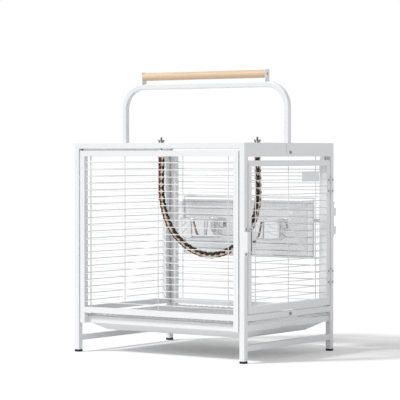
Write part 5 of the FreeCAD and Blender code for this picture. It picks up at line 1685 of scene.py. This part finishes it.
class CAGE_OT_stage(bpy.types.Operator):
    """Sets the pale floor, the soft lamps, the white surroundings and the camera"""

    bl_idname = "cage.stage"
    bl_label = "Stage"

    def execute(self, context):
        reach = 40.0
        mesh = bpy.data.meshes.new("studio_floor")
        corners = [(-reach, -reach, 0), (reach, -reach, 0), (reach, reach, 0), (-reach, reach, 0)]
        mesh.from_pydata(corners, [], [(0, 1, 2, 3)])
        floor = bpy.data.objects.new("studio_floor", mesh)
        context.scene.collection.objects.link(floor)
        mesh.materials.append(pale_floor("pale studio floor", context.scene.cage_colours.floor))

        add_sun("key_light", (-0.42, -0.58, 0.70), 9.0, 2.15)

        for number, (bearing, breadth, foot, head) in enumerate(DARK_CARDS):
            add_card(f"dark_card_{number}", bearing, breadth, foot, head)

        world = bpy.data.worlds.new("white_surroundings")
        context.scene.world = world
        world.use_nodes = True
        nodes, links = world.node_tree.nodes, world.node_tree.links
        nodes.clear()
        rays = nodes.new("ShaderNodeLightPath")
        seen = nodes.new("ShaderNodeMath")
        seen.operation = "ADD"
        links.new(rays.outputs["Is Camera Ray"], seen.inputs[0])
        links.new(rays.outputs["Is Glossy Ray"], seen.inputs[1])
        either = nodes.new("ShaderNodeMath")
        either.operation = "ADD"
        either.use_clamp = True
        links.new(seen.outputs[0], either.inputs[0])
        links.new(rays.outputs["Is Transmission Ray"], either.inputs[1])
        level = nodes.new("ShaderNodeMapRange")
        level.inputs["To Min"].default_value = 0.55
        level.inputs["To Max"].default_value = 1.0
        links.new(either.outputs[0], level.inputs["Value"])
        background = nodes.new("ShaderNodeBackground")
        background.inputs["Color"].default_value = (1.0, 1.0, 1.0, 1.0)
        links.new(level.outputs["Result"], background.inputs["Strength"])
        out = nodes.new("ShaderNodeOutputWorld")
        links.new(background.outputs[0], out.inputs["Surface"])

        view = bpy.data.cameras.new("front_view")
        view.lens = 179.05
        view.sensor_width = 36.0
        view.clip_end = 200.0
        camera = bpy.data.objects.new("front_view", view)
        camera.location = (3.13835, -4.4080, 0.5383)
        camera.rotation_euler = (math.radians(90 - 1.343), 0.0, math.radians(35.669))
        context.scene.collection.objects.link(camera)
        context.scene.camera = camera
        context.scene.view_settings.view_transform = "Standard"
        return {"FINISHED"}


DARK_CARDS = [(-0.2, 1.1, 0.1, 1.5), (-36.0, 0.5, 0.1, 1.5), (-128.0, 1.3, 0.1, 1.5), (-168.0, 0.7, 0.1, 1.5)]


def add_card(name, bearing, breadth, foot, head):
    """A dark upright card 2.5 m away that shows in glossy faces only, as a studio's black flag."""
    away = 2.5
    turn = math.radians(bearing)
    out = Vector((math.cos(turn), math.sin(turn), 0.0))
    across = Vector((-out.y, out.x, 0.0)) * breadth / 2
    foot_at, head_at = out * away + Vector((0, 0, foot)), out * away + Vector((0, 0, head))
    corners = [foot_at - across, foot_at + across, head_at + across, head_at - across]
    mesh = bpy.data.meshes.new(name)
    mesh.from_pydata([tuple(corner) for corner in corners], [], [(0, 1, 2, 3)])
    card = bpy.data.objects.new(name, mesh)
    bpy.context.scene.collection.objects.link(card)
    finish = Finish(name)
    weave = finish.noise(finish.place(), 40.0, 3.0, 0.6)
    black_cloth = finish.mix(weave, (0.02, 0.02, 0.022), (0.05, 0.05, 0.055))
    cloth = finish.node("BsdfDiffuse", None, {"Color": black_cloth})
    mesh.materials.append(finish.close(cloth))
    card.visible_camera = False
    card.visible_diffuse = False
    card.visible_shadow = False
    card.visible_transmission = False


def pale_floor(name, colour):
    """A matt floor that the camera sees a little brighter than it is lit, so that it goes white."""
    finish = Finish(name)
    spot = finish.place()
    drift = finish.noise(spot, 1.2, 3.0, 0.5)
    matt = finish.node(
        "BsdfDiffuse", None, {"Color": finish.mix(drift, tinted(colour, 0.99), tinted(colour, 1.01))}
    )
    glow = finish.node("Emission", None, {"Color": (1.0, 1.0, 1.0, 1.0), "Strength": 0.12})
    kinds = ("Camera", "Glossy", "Transmission")
    rays = [finish.node("LightPath", output=f"Is {kind} Ray") for kind in kinds]
    seen = (rays[0] + rays[1] + rays[2]).clamped()
    dark = finish.node("Emission", None, {"Color": (0.0, 0.0, 0.0, 1.0), "Strength": 0.0})
    lift = finish.node("MixShader", None, {"Fac": seen, 1: dark, 2: glow})
    return finish.close(finish.node("AddShader", None, {0: matt, 1: lift}))


def add_sun(name, towards, spread, strength):
    """An even light that comes from one direction, as soft as a wide window far away."""
    lamp = bpy.data.lights.new(name, "SUN")
    lamp.angle = math.radians(spread)
    lamp.energy = strength
    made = bpy.data.objects.new(name, lamp)
    made.rotation_euler = Vector(towards).to_track_quat("Z", "Y").to_euler()
    bpy.context.scene.collection.objects.link(made)
    return made


class CAGE_PT_panel(bpy.types.Panel):
    """Lists the pieces of the bird cage"""

    bl_label = "Bird cage"
    bl_idname = "CAGE_PT_panel"
    bl_space_type = "VIEW_3D"
    bl_region_type = "UI"
    bl_category = "Bird cage"

    def draw(self, context):
        for operator in OPERATORS:
            self.layout.operator(operator.bl_idname)
        for name, group in GROUPS.items():
            box = self.layout.box()
            box.label(text=group.__name__)
            for item in group.__annotations__:
                box.prop(getattr(context.scene, name), item)


OPERATORS = (
    CAGE_OT_stage,
    CAGE_OT_finishes,
    CAGE_OT_ferrules,
    CAGE_OT_rope,
    CAGE_OT_frame,
    CAGE_OT_plates,
    CAGE_OT_handle,
    CAGE_OT_caps,
    CAGE_OT_wires,
    CAGE_OT_grate,
    CAGE_OT_feeder,
    CAGE_OT_cups,
    CAGE_OT_cup_rings,
    CAGE_OT_guard,
    CAGE_OT_tray,
    CAGE_OT_dowel,
    CAGE_OT_screws,
    CAGE_OT_bolts,
    CAGE_OT_pins,
)


def register():
    for group in GROUPS.values():
        bpy.utils.register_class(group)
    for operator in OPERATORS:
        bpy.utils.register_class(operator)
    bpy.utils.register_class(CAGE_PT_panel)
    for name, group in GROUPS.items():
        setattr(bpy.types.Scene, name, PointerProperty(type=group))


def unregister():
    for name in GROUPS:
        delattr(bpy.types.Scene, name)
    bpy.utils.unregister_class(CAGE_PT_panel)
    for operator in OPERATORS[::-1]:
        bpy.utils.unregister_class(operator)
    for group in GROUPS.values():
        bpy.utils.unregister_class(group)


def main():
    register()
    for operator in OPERATORS:
        family, name = operator.bl_idname.split(".")
        getattr(getattr(bpy.ops, family), name)()
    bpy.context.view_layer.update()


if __name__ == "__main__":
    main()
